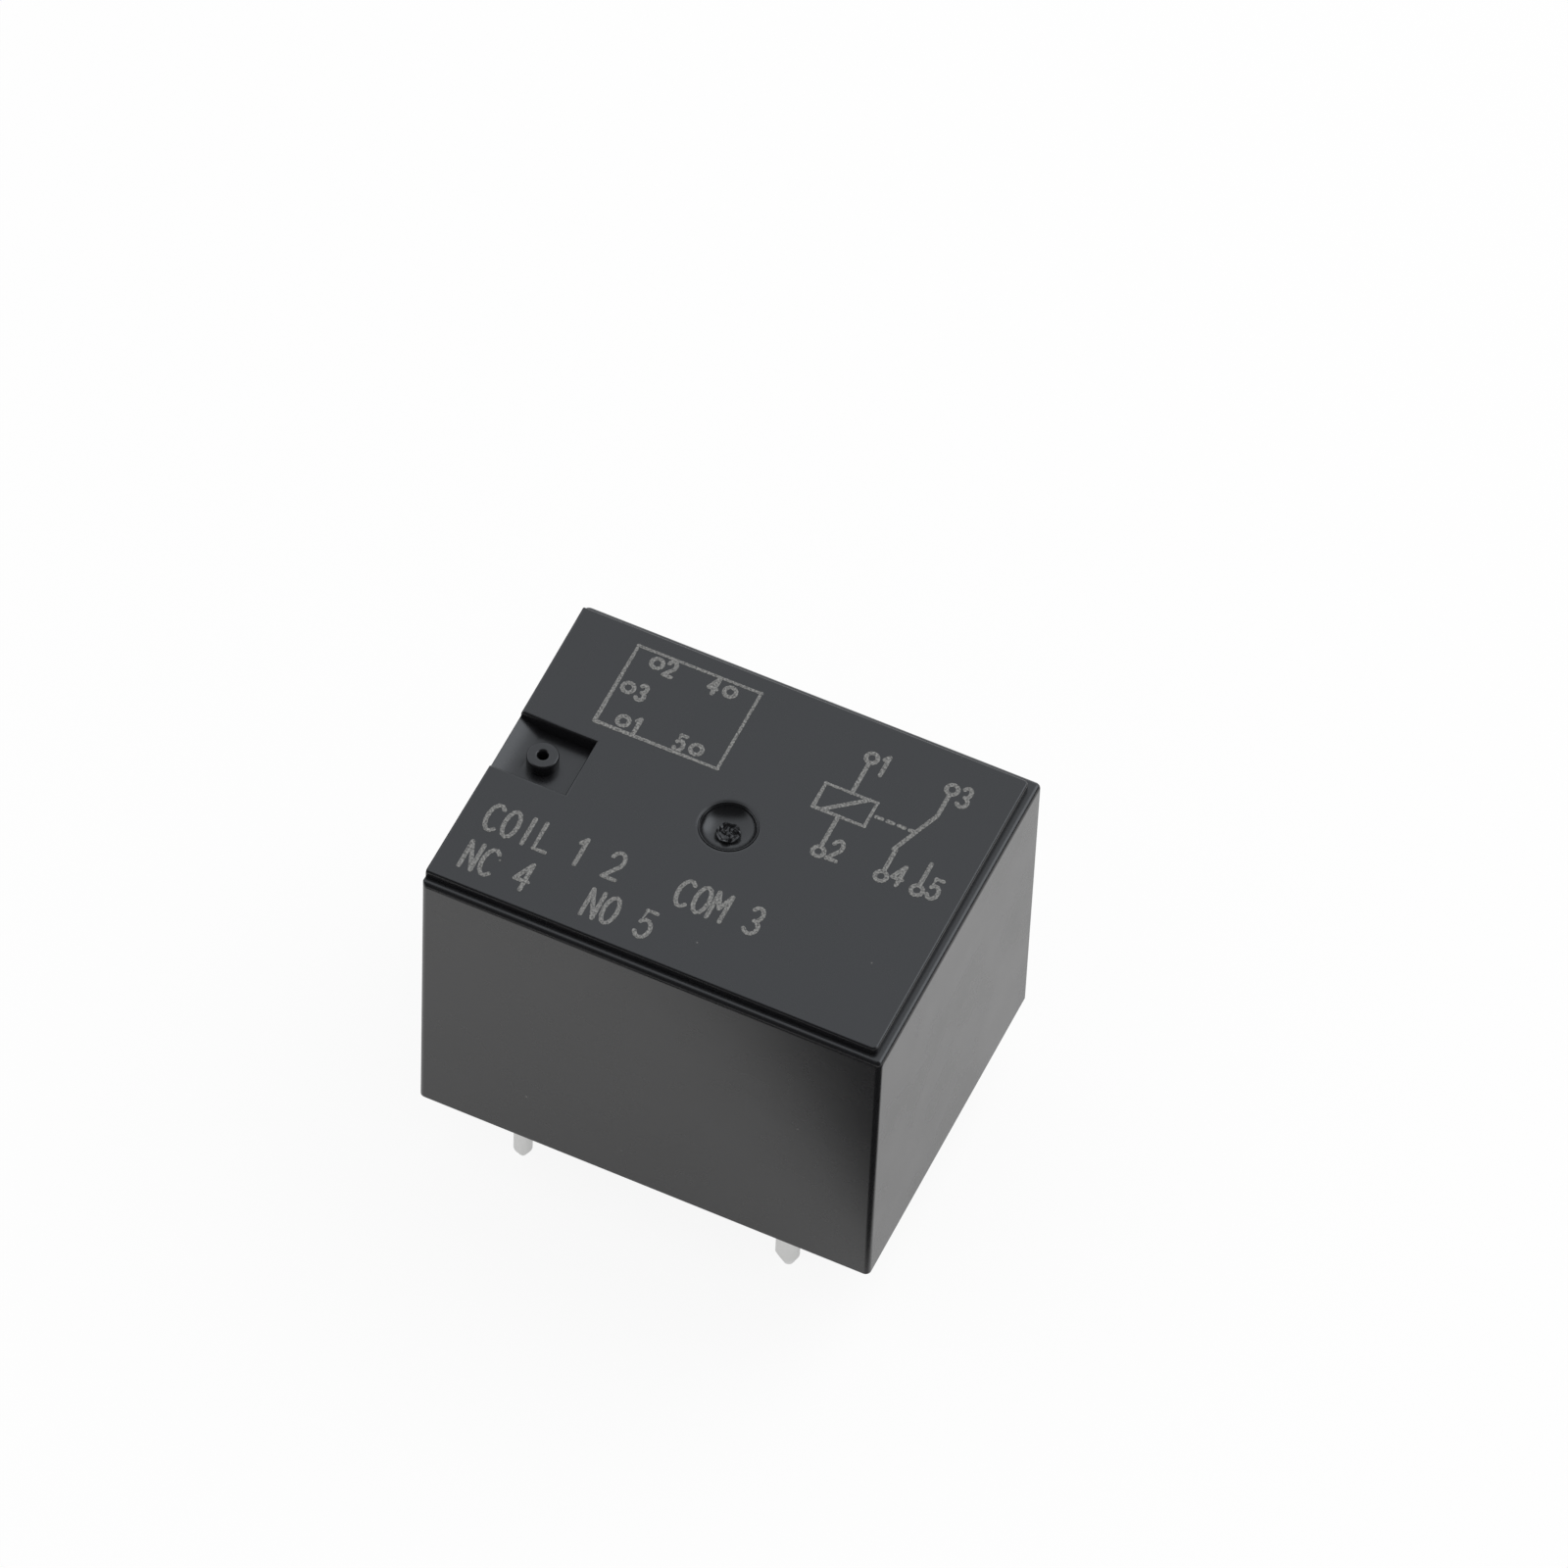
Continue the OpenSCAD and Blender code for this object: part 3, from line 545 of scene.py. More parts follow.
def hand_over(piece, material, nodes=(), body="case"):
    """Shrinks a piece to metres, gives it its finish, and puts it on its body."""
    piece.data.transform(Matrix.Scale(MM, 4))
    piece.data.materials.clear()
    piece.data.materials.append(material)
    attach(piece, body)
    if nodes:
        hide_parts(*nodes)
    print(piece.name, len(piece.data.vertices), "vertices,", len(piece.data.polygons), "faces")


def box_in_mm(name):
    """A node's lowest and highest corner, in millimetres."""
    lo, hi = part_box(name)
    return lo / MM, hi / MM


def reshape(piece, change):
    """Passes a piece's mesh through a change made with bmesh."""
    shape = bmesh.new()
    shape.from_mesh(piece.data)
    change(shape)
    shape.to_mesh(piece.data)
    shape.free()


def join_flats(shape):
    """Turns flat areas into single faces."""
    bmesh.ops.remove_doubles(shape, verts=shape.verts, dist=MERGE)
    bmesh.ops.dissolve_limit(shape, angle_limit=FLAT, verts=shape.verts, edges=shape.edges)


def round_edges(piece, width, segments, chosen=None):
    """Rounds the sharp outer edges, or those of them that are chosen."""
    def change(shape):
        sharp = [e for e in shape.edges if e.is_convex and e.calc_face_angle(0) > SHARP]
        picked = [e for e in sharp if chosen is None or chosen(e)]
        bmesh.ops.bevel(shape, geom=picked, offset=width, segments=segments, profile=0.5, affect="EDGES")
    reshape(piece, change)


def soften(piece, width, segments=2):
    """Rounds the sharp outer edges, keeps flat faces flat, and leaves inner corners sharp."""
    round_edges(piece, width, segments)
    piece.data.shade_smooth()
    piece.data.set_sharp_from_angle(angle=SHARP)
    normals = piece.modifiers.new("normals", "WEIGHTED_NORMAL")
    normals.keep_sharp = True
    bake(piece)


def cad_copy(node_name, name):
    """A merged copy of a node in millimetres, with flat areas as single faces."""
    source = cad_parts[node_name].data
    points = [v.co / MM for v in source.vertices]
    made = new_piece(name, points, [tuple(p.vertices) for p in source.polygons])
    reshape(made, join_flats)
    return made


# %% Rings and turned shapes
def ring(lo, hi, radius, end_radius, z, steps=6):
    """Points of a rectangle, anticlockwise from above, with one corner radius at +X and another at -X."""
    points = []
    for quarter in range(4):
        right, rear = quarter in (0, 3), quarter < 2
        r = radius if right else end_radius
        x = hi.x - r if right else lo.x + r
        y = hi.y - r if rear else lo.y + r
        for k in range(steps + 1 if r > 0 else 1):
            angle = math.pi / 2 * (quarter + k / steps)
            points.append(Vector((x + r * math.cos(angle), y + r * math.sin(angle), z)))
    return points


def loft(name, rings):
    """A closed skin through rings of equal length, with flat ends."""
    size = len(rings[0])
    faces = [tuple(reversed(range(size)))]
    for row in range(len(rings) - 1):
        for k in range(size):
            a = row * size + k
            b = row * size + (k + 1) % size
            faces.append((a, b, b + size, a + size))
    faces.append(tuple(range((len(rings) - 1) * size, len(rings) * size)))
    return new_piece(name, [p for r in rings for p in r], faces)


def turned(name, outline, centre, steps):
    """A closed ring, turned about an upright axis from an outline of radius and height, anticlockwise."""
    size = len(outline)
    points = []
    for k in range(steps):
        angle = 2 * math.pi * k / steps
        points += [centre + Vector((r * math.cos(angle), r * math.sin(angle), z)) for r, z in outline]
    faces = []
    for k in range(steps):
        here = k * size
        there = (k + 1) % steps * size
        for i in range(size):
            j = (i + 1) % size
            faces.append((here + i, there + i, there + j, here + j))
    return new_piece(name, points, faces)


def capped_turn(name, outline, centre, steps):
    """A closed solid, turned from an outline of radius and height that runs upwards."""
    rings = []
    for r, z in outline:
        angles = [2 * math.pi * k / steps for k in range(steps)]
        rings.append([centre + Vector((r * math.cos(a), r * math.sin(a), z)) for a in angles])
    return loft(name, rings)


def prism(name, outline, y0, y1):
    """A solid along Y, from an outline of x and z that runs clockwise as seen from the front."""
    return loft(name, [[(x, y, z) for x, z in outline] for y in (y0, y1)])


def block(name, lo, hi):
    """A box between two corners, as a tool."""
    (x0, y0, z0), (x1, y1, z1) = lo, hi
    return loft(name, [[(x1, y1, z), (x0, y1, z), (x0, y0, z), (x1, y0, z)] for z in (z0, z1)])


# %% [markdown]
# ### Strokes
#
# Fine lines turn up twice: as moulded grooves under the base, and as the marking on the roof. A Geometry
# Nodes tree gives single lines a width and a depth. It sweeps a small rectangle along them and sets a disc
# on every point, so that corners and ends are round.

# %% Stroke tree
DISC_SIDES = 8


def new_tree(name, inputs):
    """An empty Geometry Nodes tree with a geometry socket on each side and named sizes."""
    tree = bpy.data.node_groups.new(name, "GeometryNodeTree")
    tree.interface.new_socket(name="Geometry", in_out="INPUT", socket_type="NodeSocketGeometry")
    for key, kind in inputs:
        tree.interface.new_socket(name=key, in_out="INPUT", socket_type=kind)
    tree.interface.new_socket(name="Geometry", in_out="OUTPUT", socket_type="NodeSocketGeometry")
    source = tree.nodes.new("NodeGroupInput").outputs
    target = tree.nodes.new("NodeGroupOutput").inputs
    return tree, source, target


def stroke_tree():
    """Gives lines a width and a depth, with round joints and ends."""
    tree, source, target = new_tree("stroke", [
        ("Width", "NodeSocketFloat"), ("Depth", "NodeSocketFloat"), ("Finish", "NodeSocketMaterial")])
    curves = node(tree, "GeometryNodeMeshToCurve", {"Mesh": source["Geometry"]}).outputs[0]
    level = node(tree, "GeometryNodeSetCurveNormal", {"Curve": curves}, mode="Z_UP").outputs[0]
    section = node(tree, "GeometryNodeCurvePrimitiveQuadrilateral", {
        "Width": source["Width"], "Height": source["Depth"]}).outputs[0]
    bars = node(tree, "GeometryNodeCurveToMesh", {
        "Curve": level, "Profile Curve": section, "Fill Caps": True}).outputs[0]
    radius = maths(tree, "MULTIPLY", source["Width"], 0.5)
    disc = node(tree, "GeometryNodeMeshCylinder", {
        "Vertices": DISC_SIDES, "Radius": radius, "Depth": source["Depth"]}).outputs["Mesh"]
    joints = node(tree, "GeometryNodeInstanceOnPoints", {"Points": source["Geometry"], "Instance": disc})
    both = node(tree, "GeometryNodeJoinGeometry")
    link(tree, bars, both.inputs[0])
    link(tree, joints.outputs[0], both.inputs[0])
    plain = node(tree, "GeometryNodeRealizeInstances", {"Geometry": both.outputs[0]})
    done = node(tree, "GeometryNodeSetMaterial", {"Geometry": plain.outputs[0], "Material": source["Finish"]})
    link(tree, done.outputs[0], target["Geometry"])
    return tree


def grow(piece, tree, values):
    """Runs a Geometry Nodes tree on a piece, with its inputs set by name, and keeps the plain mesh."""
    modifier = piece.modifiers.new("grow", "NODES")
    modifier.node_group = tree
    names = {item.name: item.identifier for item in tree.interface.items_tree if item.in_out == "INPUT"}
    for key, value in values.items():
        modifier[names[key]] = value
    bake(piece)


def strokes(name, lines, z, width, depth, finish):
    """Solid strokes along lines of points in plan."""
    mesh = bpy.data.meshes.new(name)
    points = []
    edges = []
    for line in lines:
        first = len(points)
        points += [(x, y, z) for x, y in line]
        edges += [(first + k, first + k + 1) for k in range(len(line) - 1)]
    mesh.from_pydata(points, edges, [])
    made = bpy.data.objects.new(name, mesh)
    bpy.context.scene.collection.objects.link(made)
    grow(made, STROKE, {"Width": width, "Depth": depth, "Finish": finish})
    return made


STROKE = stroke_tree()

# %% [markdown]
# ## Cover
#
# The cover is one deep moulded cup. Its walls rise to a narrow ledge, and a raised panel stands inside the
# ledge on three sides. At the hinge end the panel is flush with the wall. Lofted rings give walls and panel
# even roundings. The vent recess with its sloping floor, its hollow post, and the bowl of the gate are then
# cut and joined. Only outer edges are rounded: inner corners come out of the mould sharp. The roof lies a
# hundredth of a millimetre below the CAD's, which leaves room for the marking on it.

# %% Cover
cover_lo, cover_hi = box_in_mm("cover")
MARK_H = 0.01
SEAT_Z = cover_lo.z
ROOF_Z = cover_hi.z - MARK_H
END_X = cover_lo.x
WALL_T = 0.75
ROOF_T = 0.9
CORNER_R = 0.25
EDGE_R = 0.24
PANEL_H = 0.35
PANEL_INSET = 0.4
PANEL_EDGE_R = 0.12
INNER_R = 0.3
EDGE_STEPS = 6


def wall_ring(inset, radius, z):
    """The case's outline, moved inwards on all sides."""
    shift = Vector((inset, inset))
    return ring(cover_lo.xy + shift, cover_hi.xy - shift, radius, radius, z)


def rounded_top(inset, radius, end_radius, edge_r, top):
    """Rings of a wall whose top edge is rounded on three sides, and stays at the hinge end of the case."""
    rings = []
    for k in range(EDGE_STEPS + 1):
        angle = math.pi / 2 * k / EDGE_STEPS
        step = edge_r * (1 - math.cos(angle))
        lo = cover_lo.xy + Vector((0, inset + step))
        hi = cover_hi.xy - Vector((inset + step, inset + step))
        z = top - edge_r * (1 - math.sin(angle))
        rings.append(ring(lo, hi, radius - step, max(end_radius - step, 0), z))
    return rings


def cover_shell():
    """The hollow case with its ledge and raised panel."""
    walls = [
        wall_ring(WALL_T, INNER_R, ROOF_Z - ROOF_T),
        wall_ring(WALL_T, INNER_R, SEAT_Z),
        wall_ring(0, CORNER_R, SEAT_Z),
    ]
    shell = loft("cover_moulding", walls + rounded_top(0, CORNER_R, CORNER_R, EDGE_R, ROOF_Z - PANEL_H))
    panel = rounded_top(PANEL_INSET, CORNER_R, 0, PANEL_EDGE_R, ROOF_Z)
    root = [Vector((p.x, p.y, ROOF_Z - (ROOF_T + PANEL_H) / 2)) for p in panel[0]]
    combine(shell, loft("panel", [root] + panel), "UNION")
    reshape(shell, join_flats)
    return shell


VENT_L = 3.4
VENT_W = 2.9
VENT_DEPTH = 0.75
VENT_SILL = 0.25
VENT_RAMP_L = 1.0
VENT_FLOOR_T = 0.6
VENT_X = END_X + 1.7
POST_R = 0.675
POST_H = 0.6
POST_EDGE_R = 0.1
HOLE_R = 0.225
HOLE_SLACK = 0.005
HOLE_REACH = 0.01
BOWL_X = -PANEL_INSET / 2
BOWL_R = 1.17
BOWL_DEPTH = 0.6
LIP_R = 0.1
BOWL_STEPS = 20
LIP_STEPS = 9
ROUND_STEPS = 48
CUT = 0.5
ON_ROOF = 0.001


def cut_vent(shell):
    """The open recess at the end of the roof, with a hollow post in it."""
    floor = ROOF_Z - VENT_DEPTH
    side = VENT_W / 2
    housing_lo = (END_X + WALL_T / 2, -side - WALL_T, floor - VENT_FLOOR_T)
    housing_hi = (END_X + VENT_L + WALL_T, side + WALL_T, ROOF_Z - ROOF_T / 2)
    combine(shell, block("housing", housing_lo, housing_hi), "UNION")
    recess = [
        (END_X - CUT, ROOF_Z + CUT), (END_X + VENT_L, ROOF_Z + CUT), (END_X + VENT_L, floor),
        (END_X + VENT_RAMP_L, floor), (END_X, ROOF_Z - VENT_SILL), (END_X - CUT, ROOF_Z - VENT_SILL)]
    combine(shell, prism("recess", recess, -side, side), "DIFFERENCE")
    top = floor + POST_H
    outline = [(HOLE_R, floor - VENT_FLOOR_T / 2), (POST_R, floor - VENT_FLOOR_T / 2)]
    for start, r in ((0, POST_R - POST_EDGE_R), (90, HOLE_R + POST_EDGE_R)):
        for k in range(EDGE_STEPS + 1):
            angle = math.radians(start + 90 * k / EDGE_STEPS)
            outline.append((r + POST_EDGE_R * math.cos(angle), top - POST_EDGE_R * (1 - math.sin(angle))))
    centre = Vector((VENT_X, 0, 0))
    combine(shell, turned("post", outline, centre, ROUND_STEPS), "UNION")
    bore = HOLE_R - HOLE_SLACK
    hole = [(bore, floor - VENT_FLOOR_T - CUT), (bore, floor + HOLE_REACH)]
    combine(shell, capped_turn("hole", hole, centre, ROUND_STEPS), "DIFFERENCE")


def cut_bowl(shell):
    """The bowl in the middle of the panel: half an oval with a steep wall and a rounded lip."""
    lip_r = BOWL_R + LIP_R
    lip_z = ROOF_Z - LIP_R
    outline = []
    for k in range(1, BOWL_STEPS + 1):
        angle = math.radians(90 * k / BOWL_STEPS)
        outline.append((BOWL_R * math.sin(angle), lip_z - (BOWL_DEPTH - LIP_R) * math.cos(angle)))
    for k in range(LIP_STEPS - 1, 0, -1):
        angle = math.radians(90 * k / LIP_STEPS)
        outline.append((lip_r - LIP_R * math.sin(angle), lip_z + LIP_R * math.cos(angle)))
    outline.append((lip_r + CUT, ROOF_Z + CUT))
    combine(shell, capped_turn("bowl", outline, Vector((BOWL_X, 0, 0)), ROUND_STEPS * 2), "DIFFERENCE")


def on_roof(edge):
    """Whether an edge lies in the face of the roof."""
    return all(v.co.z > ROOF_Z - ON_ROOF for v in edge.verts)


RIM_R = 0.15
RIM_SEGMENTS = 4
COVER_EDGE = 0.045
COVER_SEGMENTS = 3
cover = cover_shell()
cut_vent(cover)
cut_bowl(cover)
reshape(cover, join_flats)
round_edges(cover, RIM_R, RIM_SEGMENTS, on_roof)
soften(cover, COVER_EDGE, COVER_SEGMENTS)
hand_over(cover, case_black, ["cover"])

# %% [markdown]
# ### Torn gate
#
# Plastic is injected through the middle of the bowl. When the runner is torn off it leaves a rough little
# crater with a raised edge. It is a small disc with enough rings to carry an uneven top, pushed up and down
# by noise. Its facets stay flat, so that they glint.

# %% Torn gate
GATE_R = 0.5
GATE_H = 0.16
GATE_HOLLOW = 0.1
GATE_ROUGH = 0.14
GATE_ROOT = 0.15
GATE_SHOULDER = 0.06
GATE_DIP = 2.5
GATE_GRAIN = 5.5
GATE_NOISE = (0.8, 2.0, 3)
GATE_RINGS = 6
GATE_STEPS = 20


def torn_gate():
    """A disc whose top is torn, rooted in the bottom of the bowl."""
    root = ROOF_Z - BOWL_DEPTH - GATE_ROOT
    top = ROOF_Z - BOWL_DEPTH + GATE_H
    rings = []
    profile = [(GATE_R, root), (GATE_R, top - GATE_SHOULDER)]
    for k in range(GATE_RINGS):
        inward = k / GATE_RINGS
        profile.append((GATE_R * (1 - inward), top - GATE_HOLLOW * min(1, GATE_DIP * inward)))
    for row, (r, z) in enumerate(profile):
        points = []
        for k in range(GATE_STEPS):
            angle = 2 * math.pi * k / GATE_STEPS
            at = Vector((BOWL_X + r * math.cos(angle), r * math.sin(angle), z))
            if row > 0:
                at.z += GATE_ROUGH * noise.fractal(at * GATE_GRAIN, *GATE_NOISE)
            points.append(at)
        rings.append(points)
    return loft("torn_gate", rings)


gate = torn_gate()
hand_over(gate, case_black)

# %% [markdown]
# ### Marking
#
# A laser marks the roof with fine grey lines. Here they give a plain key to the pins: their numbers, what
# each is for, a circuit diagram, and a plan of the pins. The letters are single lines and bows on a grid of
# four by six.

# %% Letters
GLYPH_H = 6
GLYPH_PITCH = 5.4
GLYPH_NARROW = 0.64
BOW_STEP = 30


def bow(x, y, rx, ry, start, end):
    """Points of an oval arc, with its angles in degrees."""
    steps = max(3, round(abs(end - start) / BOW_STEP))
    angles = [math.radians(start + (end - start) * k / steps) for k in range(steps + 1)]
    return [(x + rx * math.cos(a), y + ry * math.sin(a)) for a in angles]


GLYPHS = {
    "1": [[(0.8, 4.8), (2.2, 6)], [(2.2, 6), (2.2, 0)]],
    "2": [bow(2, 4.2, 1.9, 1.8, 165, -35) + [(0, 0)], [(0, 0), (4, 0)]],
    "3": [bow(1.9, 4.5, 1.6, 1.5, 150, -90) + bow(1.9, 1.5, 2, 1.5, 90, -150)[1:]],
    "4": [[(3, 0), (3, 6)], [(3, 6), (0, 2)], [(0, 2), (4, 2)]],
    "5": [[(3.6, 6), (0.7, 6), (0.4, 3.3)] + bow(1.9, 2, 2.1, 2, 130, -150)],
    "C": [bow(2.2, 3, 2.2, 3, 50, 310)],
    "I": [[(2, 0), (2, 6)]],
    "L": [[(0.2, 6), (0.2, 0), (3.8, 0)]],
    "M": [[(0, 0), (0, 6)], [(0, 6), (2, 2.6)], [(2, 2.6), (4, 6)], [(4, 6), (4, 0)]],
    "N": [[(0.2, 0), (0.2, 6)], [(0.2, 6), (3.8, 0)], [(3.8, 0), (3.8, 6)]],
    "O": [bow(2, 3, 2, 3, 90, 450)],
}


def written(text, x, y, height):
    """Lines of a text whose first letter stands at a point."""
    size = height / GLYPH_H
    lines = []
    for letter in text:
        for line in GLYPHS.get(letter, []):
            lines.append([(x + size * GLYPH_NARROW * px, y + size * py) for px, py in line])
        x += size * GLYPH_NARROW * GLYPH_PITCH
    return lines


# %% Marking
LEGEND = [("COIL 1 2   COM 3", -4.5), ("NC 4   NO 5", -6.6)]
LEGEND_H = 1.35
LEGEND_X = -9.2
SMALL_H = 1.0
EYE_R = 0.25
COIL_MARK = (3.6, 3.05)
COIL_HALF = (1.15, 0.65)
COIL_SLASH = 0.7
SWITCH_X = 7.2
THROW_X = (6.4, 8.0)
BLADE_PAST = 0.1
LEAD_Y = (0.7, 5.4)
LEAD_L = 1.2
DASHES = 4
DASH_L = 0.25
NUMBER_STEP = (0.42, -0.4)
PLAN_AT = (-4.6, 4.5)
PLAN_SCALE = 0.27
PLAN_NUMBER_H = 0.8
PINS = [(-6.3, -6.0), (-6.3, 6.0), (-8.3, 0.0), (5.9, 6.0), (5.9, -6.0)]
PIN_NUMBER_STEP = {True: -0.9, False: 0.45}
MARK_W = 0.19
MARK_DEPTH = 0.018
MARK_SHARE = 0.9
LASER_GREY = ((0.08, 0.08, 0.08), (0.30, 0.30, 0.29))
LASER_GRAIN = 12000
LASER_BREAK = (0.35, 0.65)
LASER_ROUGH = 0.7


def eye(x, y):
    """A small ring that marks a pin."""
    return bow(x, y, EYE_R, EYE_R, 0, 360)


def frame_lines(x, y, dx, dy):
    """A rectangle about a point."""
    return [(x - dx, y - dy), (x + dx, y - dy), (x + dx, y + dy), (x - dx, y + dy), (x - dx, y - dy)]


def circuit():
    """Coil with its two leads, dashed link, and the changeover contact."""
    x, y = COIL_MARK
    dx, dy = COIL_HALF
    low, high = LEAD_Y
    throw_y = low + LEAD_L
    lines = [
        frame_lines(x, y, dx, dy),
        [(x - dx * COIL_SLASH, y - dy), (x + dx * COIL_SLASH, y + dy)],
        [(x, y + dy), (x, high)],
        [(x, y - dy), (x, low)],
        [(SWITCH_X, high), (SWITCH_X, high - LEAD_L), (THROW_X[0] - BLADE_PAST, throw_y)],
        [(THROW_X[0], throw_y), (THROW_X[0], low)],
        [(THROW_X[1], throw_y), (THROW_X[1], low)],
    ]
    for k in range(DASHES):
        start = x + dx + DASH_L * (1 + 2 * k)
        lines.append([(start, y), (start + DASH_L, y)])
    ends = [(x, high), (x, low), (SWITCH_X, high), (THROW_X[0], low), (THROW_X[1], low)]
    for number, (px, py) in enumerate(ends, 1):
        lines.append(eye(px, py + (EYE_R if py > y else -EYE_R)))
        lines += written(str(number), px + NUMBER_STEP[0], py + NUMBER_STEP[1], SMALL_H)
    return lines


def pin_plan():
    """The case's outline with its five pins, seen from above."""
    x, y = PLAN_AT
    lines = [frame_lines(x, y, cover_hi.x * PLAN_SCALE, cover_hi.y * PLAN_SCALE)]
    for number, (px, py) in enumerate(PINS, 1):
        px = x + px * PLAN_SCALE
        py = y + py * PLAN_SCALE
        lines.append(eye(px, py))
        lines += written(str(number), px + PIN_NUMBER_STEP[px > x], py - PLAN_NUMBER_H / 2, PLAN_NUMBER_H)
    return lines


def laser_material():
    """Grey, broken up by the grain of the plastic."""
    material, tree, surface, coords = new_material("laser_grey", LASER_ROUGH)
    grain = node(tree, "ShaderNodeTexNoise", {"Vector": coords, "Scale": LASER_GRAIN, "Detail": 2.0}).outputs[0]
    level = node(tree, "ShaderNodeMapRange", {
        "Value": grain,
        "From Min": LASER_BREAK[0],
        "From Max": LASER_BREAK[1],
    }).outputs[0]
    dark, light = LASER_GREY
    tone = node(tree, "ShaderNodeMix", {0: level, 6: (*dark, 1), 7: (*light, 1)}, data_type="RGBA")
    link(tree, tone.outputs[2], surface.inputs["Base Color"])
    return material


laser_grey = laser_material()
legend_lines = [line for row, y in LEGEND for line in written(row, LEGEND_X, y, LEGEND_H)]
mark_z = ROOF_Z + MARK_H * MARK_SHARE - MARK_DEPTH / 2
marking = strokes("marking", circuit() + pin_plan(), mark_z, MARK_W, MARK_DEPTH, laser_grey)
legend = strokes("legend", legend_lines, mark_z, MARK_W, MARK_DEPTH, laser_grey)
combine(marking, legend, "UNION", crossing=True)
hand_over(marking, laser_grey)

# %% [markdown]
# ## Base
#
# The base closes the cup from below. Its underside carries the wells for the resin and a wiring diagram,
# moulded as fine grooves. The merged CAD copy already has the wells, and the grooves are cut with strokes.

# %% Base with its moulded diagram
UNDERSIDE_Z = box_in_mm("base")[0].z
GROOVE_W = 0.26
GROOVE_DEPTH = 0.2
BASE_EDGE = 0.04
DIAGRAM = [
    [(5.9, 5.2), (5.9, 2.2)],
    [(5.55, 2.3), (6.25, 2.3)],
    [(5.9, 2.0), (3.7, 0.0), (-3.25, 0.0)],
    [(-5.85, 0.0), (-6.9, 0.0)],
    [(5.9, -2.1), (5.9, -4.9)],
    [(-6.1, 3.3), (-1.7, 3.3), (-1.7, 1.9), (-0.95, 1.65), (-2.5, -1.45), (-1.75, -1.85), (-1.7, -2.85)],
    [(-1.6, -3.25), (-6.15, -3.25)],
]
DIAGRAM_DOT = (5.9, -2.1)
DOT_R = 0.22
DOT_STEPS = 24


def diagram_dot():
    """The round end of the open contact's line."""
    outline = [(DOT_R, UNDERSIDE_Z - CUT), (DOT_R, UNDERSIDE_Z + GROOVE_DEPTH)]
    return capped_turn("dot", outline, Vector((*DIAGRAM_DOT, 0)), DOT_STEPS)


base = cad_copy("base", "base_moulding")
grooves = strokes("grooves", DIAGRAM, UNDERSIDE_Z, GROOVE_W, 2 * GROOVE_DEPTH, base_black)
combine(base, grooves, "DIFFERENCE", crossing=True)
combine(base, diagram_dot(), "DIFFERENCE")
reshape(base, join_flats)
soften(base, BASE_EDGE)
hand_over(base, base_black, ["base"])

# %% [markdown]
# ## Resin
#
# The wells are filled with resin that was poured in liquid. Where it meets a wall or a pin it creeps up and
# sets as a soft rim. The CAD solid gives the exact outline. Cutting its face into small squares gives
# points to lift, more the nearer they lie to the outline.

# %% Resin
resin_lo, resin_hi = box_in_mm("sealing_compound")
CREEP_H = 0.16
CREEP_REACH = 0.22
RESIN_GRID = 0.12
RESIN_WAVE = 0.03
RESIN_WAVE_SCALE = 0.9
RESIN_SHARP = math.radians(50)
ON_FACE = 1e-4
UPRIGHT_Z = 0.5


def slice_up(shape, lo, hi, axis, step):
    """Cuts a shape by evenly spaced planes across one axis."""
    across = Vector((0, 0, 0))
    across[axis] = 1
    at = lo[axis] + step
    while at < hi[axis]:
        place = Vector((0, 0, 0))
        place[axis] = at
        everything = shape.verts[:] + shape.edges[:] + shape.faces[:]
        bmesh.ops.bisect_plane(shape, geom=everything, plane_co=place, plane_no=across, dist=1e-5)
        at += step


def pour_resin():
    """The resin with rims that creep up the walls."""
    piece = cad_copy("sealing_compound", "resin_fill")
    shape = bmesh.new()
    shape.from_mesh(piece.data)
    for axis in (0, 1):
        slice_up(shape, resin_lo, resin_hi, axis, RESIN_GRID)
    low = [v for v in shape.verts if v.co.z < resin_lo.z + ON_FACE]
    rim = [v for v in low if any(abs(f.normal.z) < UPRIGHT_Z for f in v.link_faces)]
    tree = KDTree(len(rim))
    for k, v in enumerate(rim):
        tree.insert(v.co, k)
    tree.balance()
    for v in low:
        gap = tree.find(v.co)[2]
        v.co.z -= CREEP_H * math.exp(-gap / CREEP_REACH) + RESIN_WAVE * noise.noise(v.co * RESIN_WAVE_SCALE)
    shape.to_mesh(piece.data)
    shape.free()
    piece.data.shade_smooth()
    piece.data.set_sharp_from_angle(angle=RESIN_SHARP)
    return piece


hand_over(pour_resin(), resin_black, ["sealing_compound"])

# %% [markdown]
# ## Pins and terminals
#
# The pins are the ends of parts that reach far into the case: two round wires for the coil, and three
# stamped terminals for the contacts. Their shapes are right as they are, so each is a merged copy with its
# stamped edges slightly rounded, in tin.

# %% Pins and terminals
STAMPED_EDGE = 0.035
for name in ("coil_pin_front", "coil_pin_rear", "com_terminal", "nc_terminal", "no_terminal"):
    pin = cad_copy(name, name + "_tinned")
    soften(pin, STAMPED_EDGE)
    hand_over(pin, tin, [name])

# %% [markdown]
# ## Magnet and contacts
#
# Inside the case a coil pulls an armature down, and the armature carries the moving contact from one fixed
# contact to the other. The iron, the bobbin and the rivets are merged copies with soft edges.

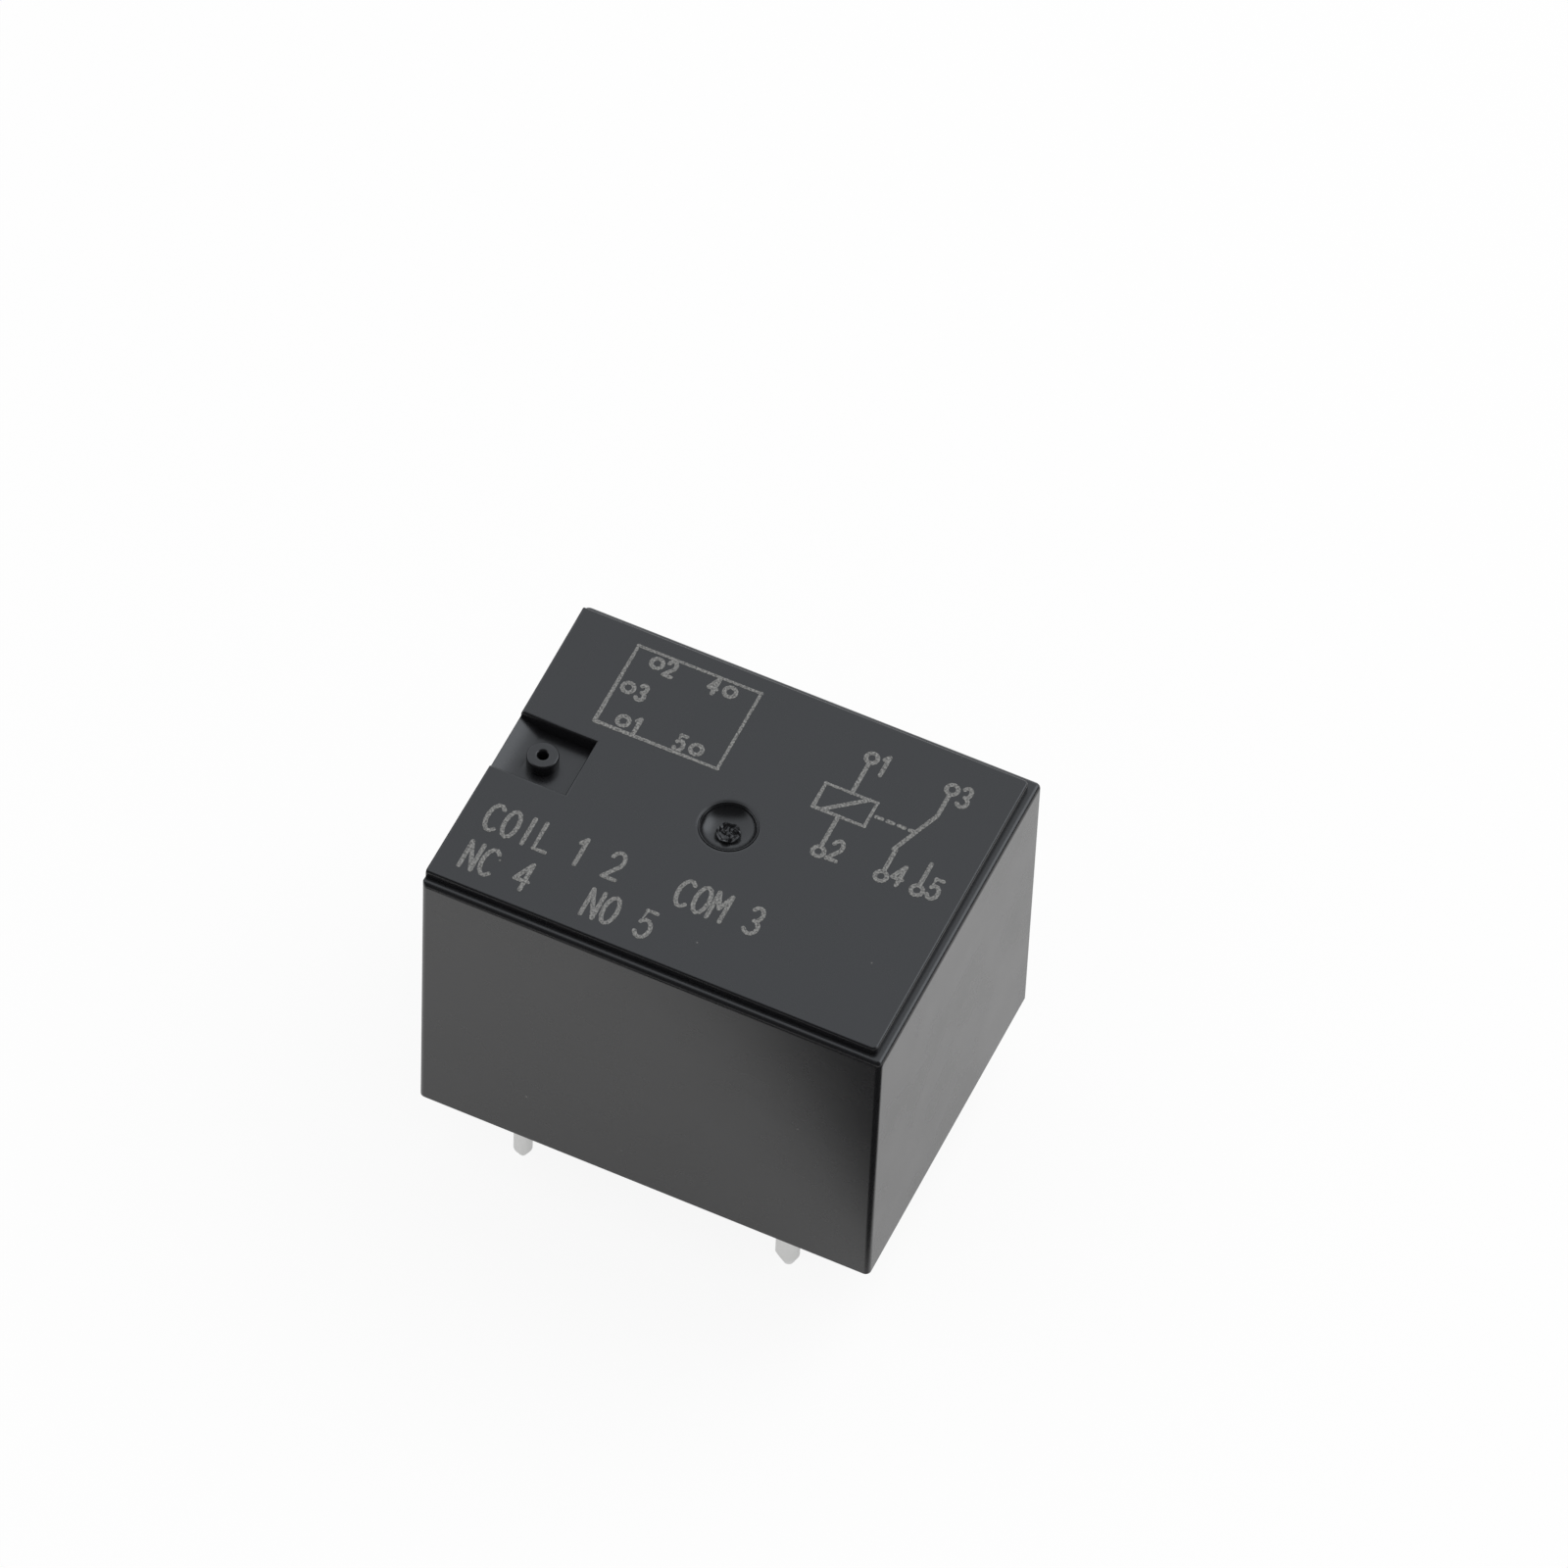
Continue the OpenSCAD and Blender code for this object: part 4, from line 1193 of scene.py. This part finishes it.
# %% Magnet and contacts
IRON_EDGE = 0.05
BOBBIN_EDGE = 0.05
MOVING_IRON = ("armature", "armature_rivets")
for name in ("core", "yoke", "yoke_rivets", "armature", "armature_rivets"):
    iron = cad_copy(name, name + "_plated")
    soften(iron, IRON_EDGE)
    hand_over(iron, nickel, [name], "armature" if name in MOVING_IRON else "case")
bobbin = cad_copy("bobbin", "bobbin_moulding")
soften(bobbin, BOBBIN_EDGE)
hand_over(bobbin, bobbin_ivory, ["bobbin"])
kept_nodes = {
    "nc_contact": silver,
    "no_contact": silver,
    "moving_contact": silver,
    "coil_winding": enamel_wire,
}
for name, finish in kept_nodes.items():
    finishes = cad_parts[name].data.materials
    finishes.clear()
    finishes.append(finish)

# %% [markdown]
# ### Winding
#
# The CAD winding is a plain drum. On the real coil one sees the outer layer of wire, turn beside turn. A
# spiral with as many rotations as there are turns, swept with a round section, makes that layer.

# %% Winding
COIL_X = -1.7
COIL_R = 4.4
WIRE_R = 0.07
COIL_LOW = 7.9
COIL_HIGH = 13.3
TURN_STEPS = 40
WIRE_SIDES = 6


def winding_tree():
    """One layer of wire, as a spiral with a round section."""
    tree, source, target = new_tree("winding", [
        ("Radius", "NodeSocketFloat"), ("Height", "NodeSocketFloat"), ("Turns", "NodeSocketFloat"),
        ("Wire radius", "NodeSocketFloat"), ("Place", "NodeSocketVector"), ("Finish", "NodeSocketMaterial")])
    path = node(tree, "GeometryNodeCurveSpiral", {
        "Resolution": TURN_STEPS, "Rotations": source["Turns"], "Start Radius": source["Radius"],
        "End Radius": source["Radius"], "Height": source["Height"]}).outputs[0]
    section = node(tree, "GeometryNodeCurvePrimitiveCircle", {
        "Resolution": WIRE_SIDES, "Radius": source["Wire radius"]}).outputs[0]
    wire = node(tree, "GeometryNodeCurveToMesh", {
        "Curve": path, "Profile Curve": section, "Fill Caps": True}).outputs[0]
    placed = node(tree, "GeometryNodeTransform", {"Geometry": wire, "Translation": source["Place"]}).outputs[0]
    plain = node(tree, "GeometryNodeRealizeInstances", {"Geometry": placed}).outputs[0]
    done = node(tree, "GeometryNodeSetMaterial", {"Geometry": plain, "Material": source["Finish"]})
    link(tree, done.outputs[0], target["Geometry"])
    return tree


wire_layer = new_piece("wire_layer", [], [])
grow(wire_layer, winding_tree(), {
    "Radius": COIL_R - WIRE_R / 2,
    "Height": COIL_HIGH - COIL_LOW - 2 * WIRE_R,
    "Turns": (COIL_HIGH - COIL_LOW - 2 * WIRE_R) / (2 * WIRE_R),
    "Wire radius": WIRE_R,
    "Place": (COIL_X, 0.0, COIL_LOW + WIRE_R),
    "Finish": enamel_wire,
})
wire_layer.data.shade_smooth()
hand_over(wire_layer, enamel_wire)

# %% [markdown]
# ### Spring
#
# The leaf is riveted to the yoke at one end and to the armature at the other, and bends round the hinge
# edge between them. It is a merged copy with slightly rounded edges, in spring copper.

# %% Spring
LEAF_EDGE = 0.02
spring = cad_copy("moving_spring", "spring_leaf")
soften(spring, LEAF_EDGE, segments=1)
spring.data.transform(Matrix.Scale(MM, 4))
spring.data.materials.clear()
spring.data.materials.append(spring_copper)
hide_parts("moving_spring")
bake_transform(spring)
print(spring.name, len(spring.data.vertices), "vertices")
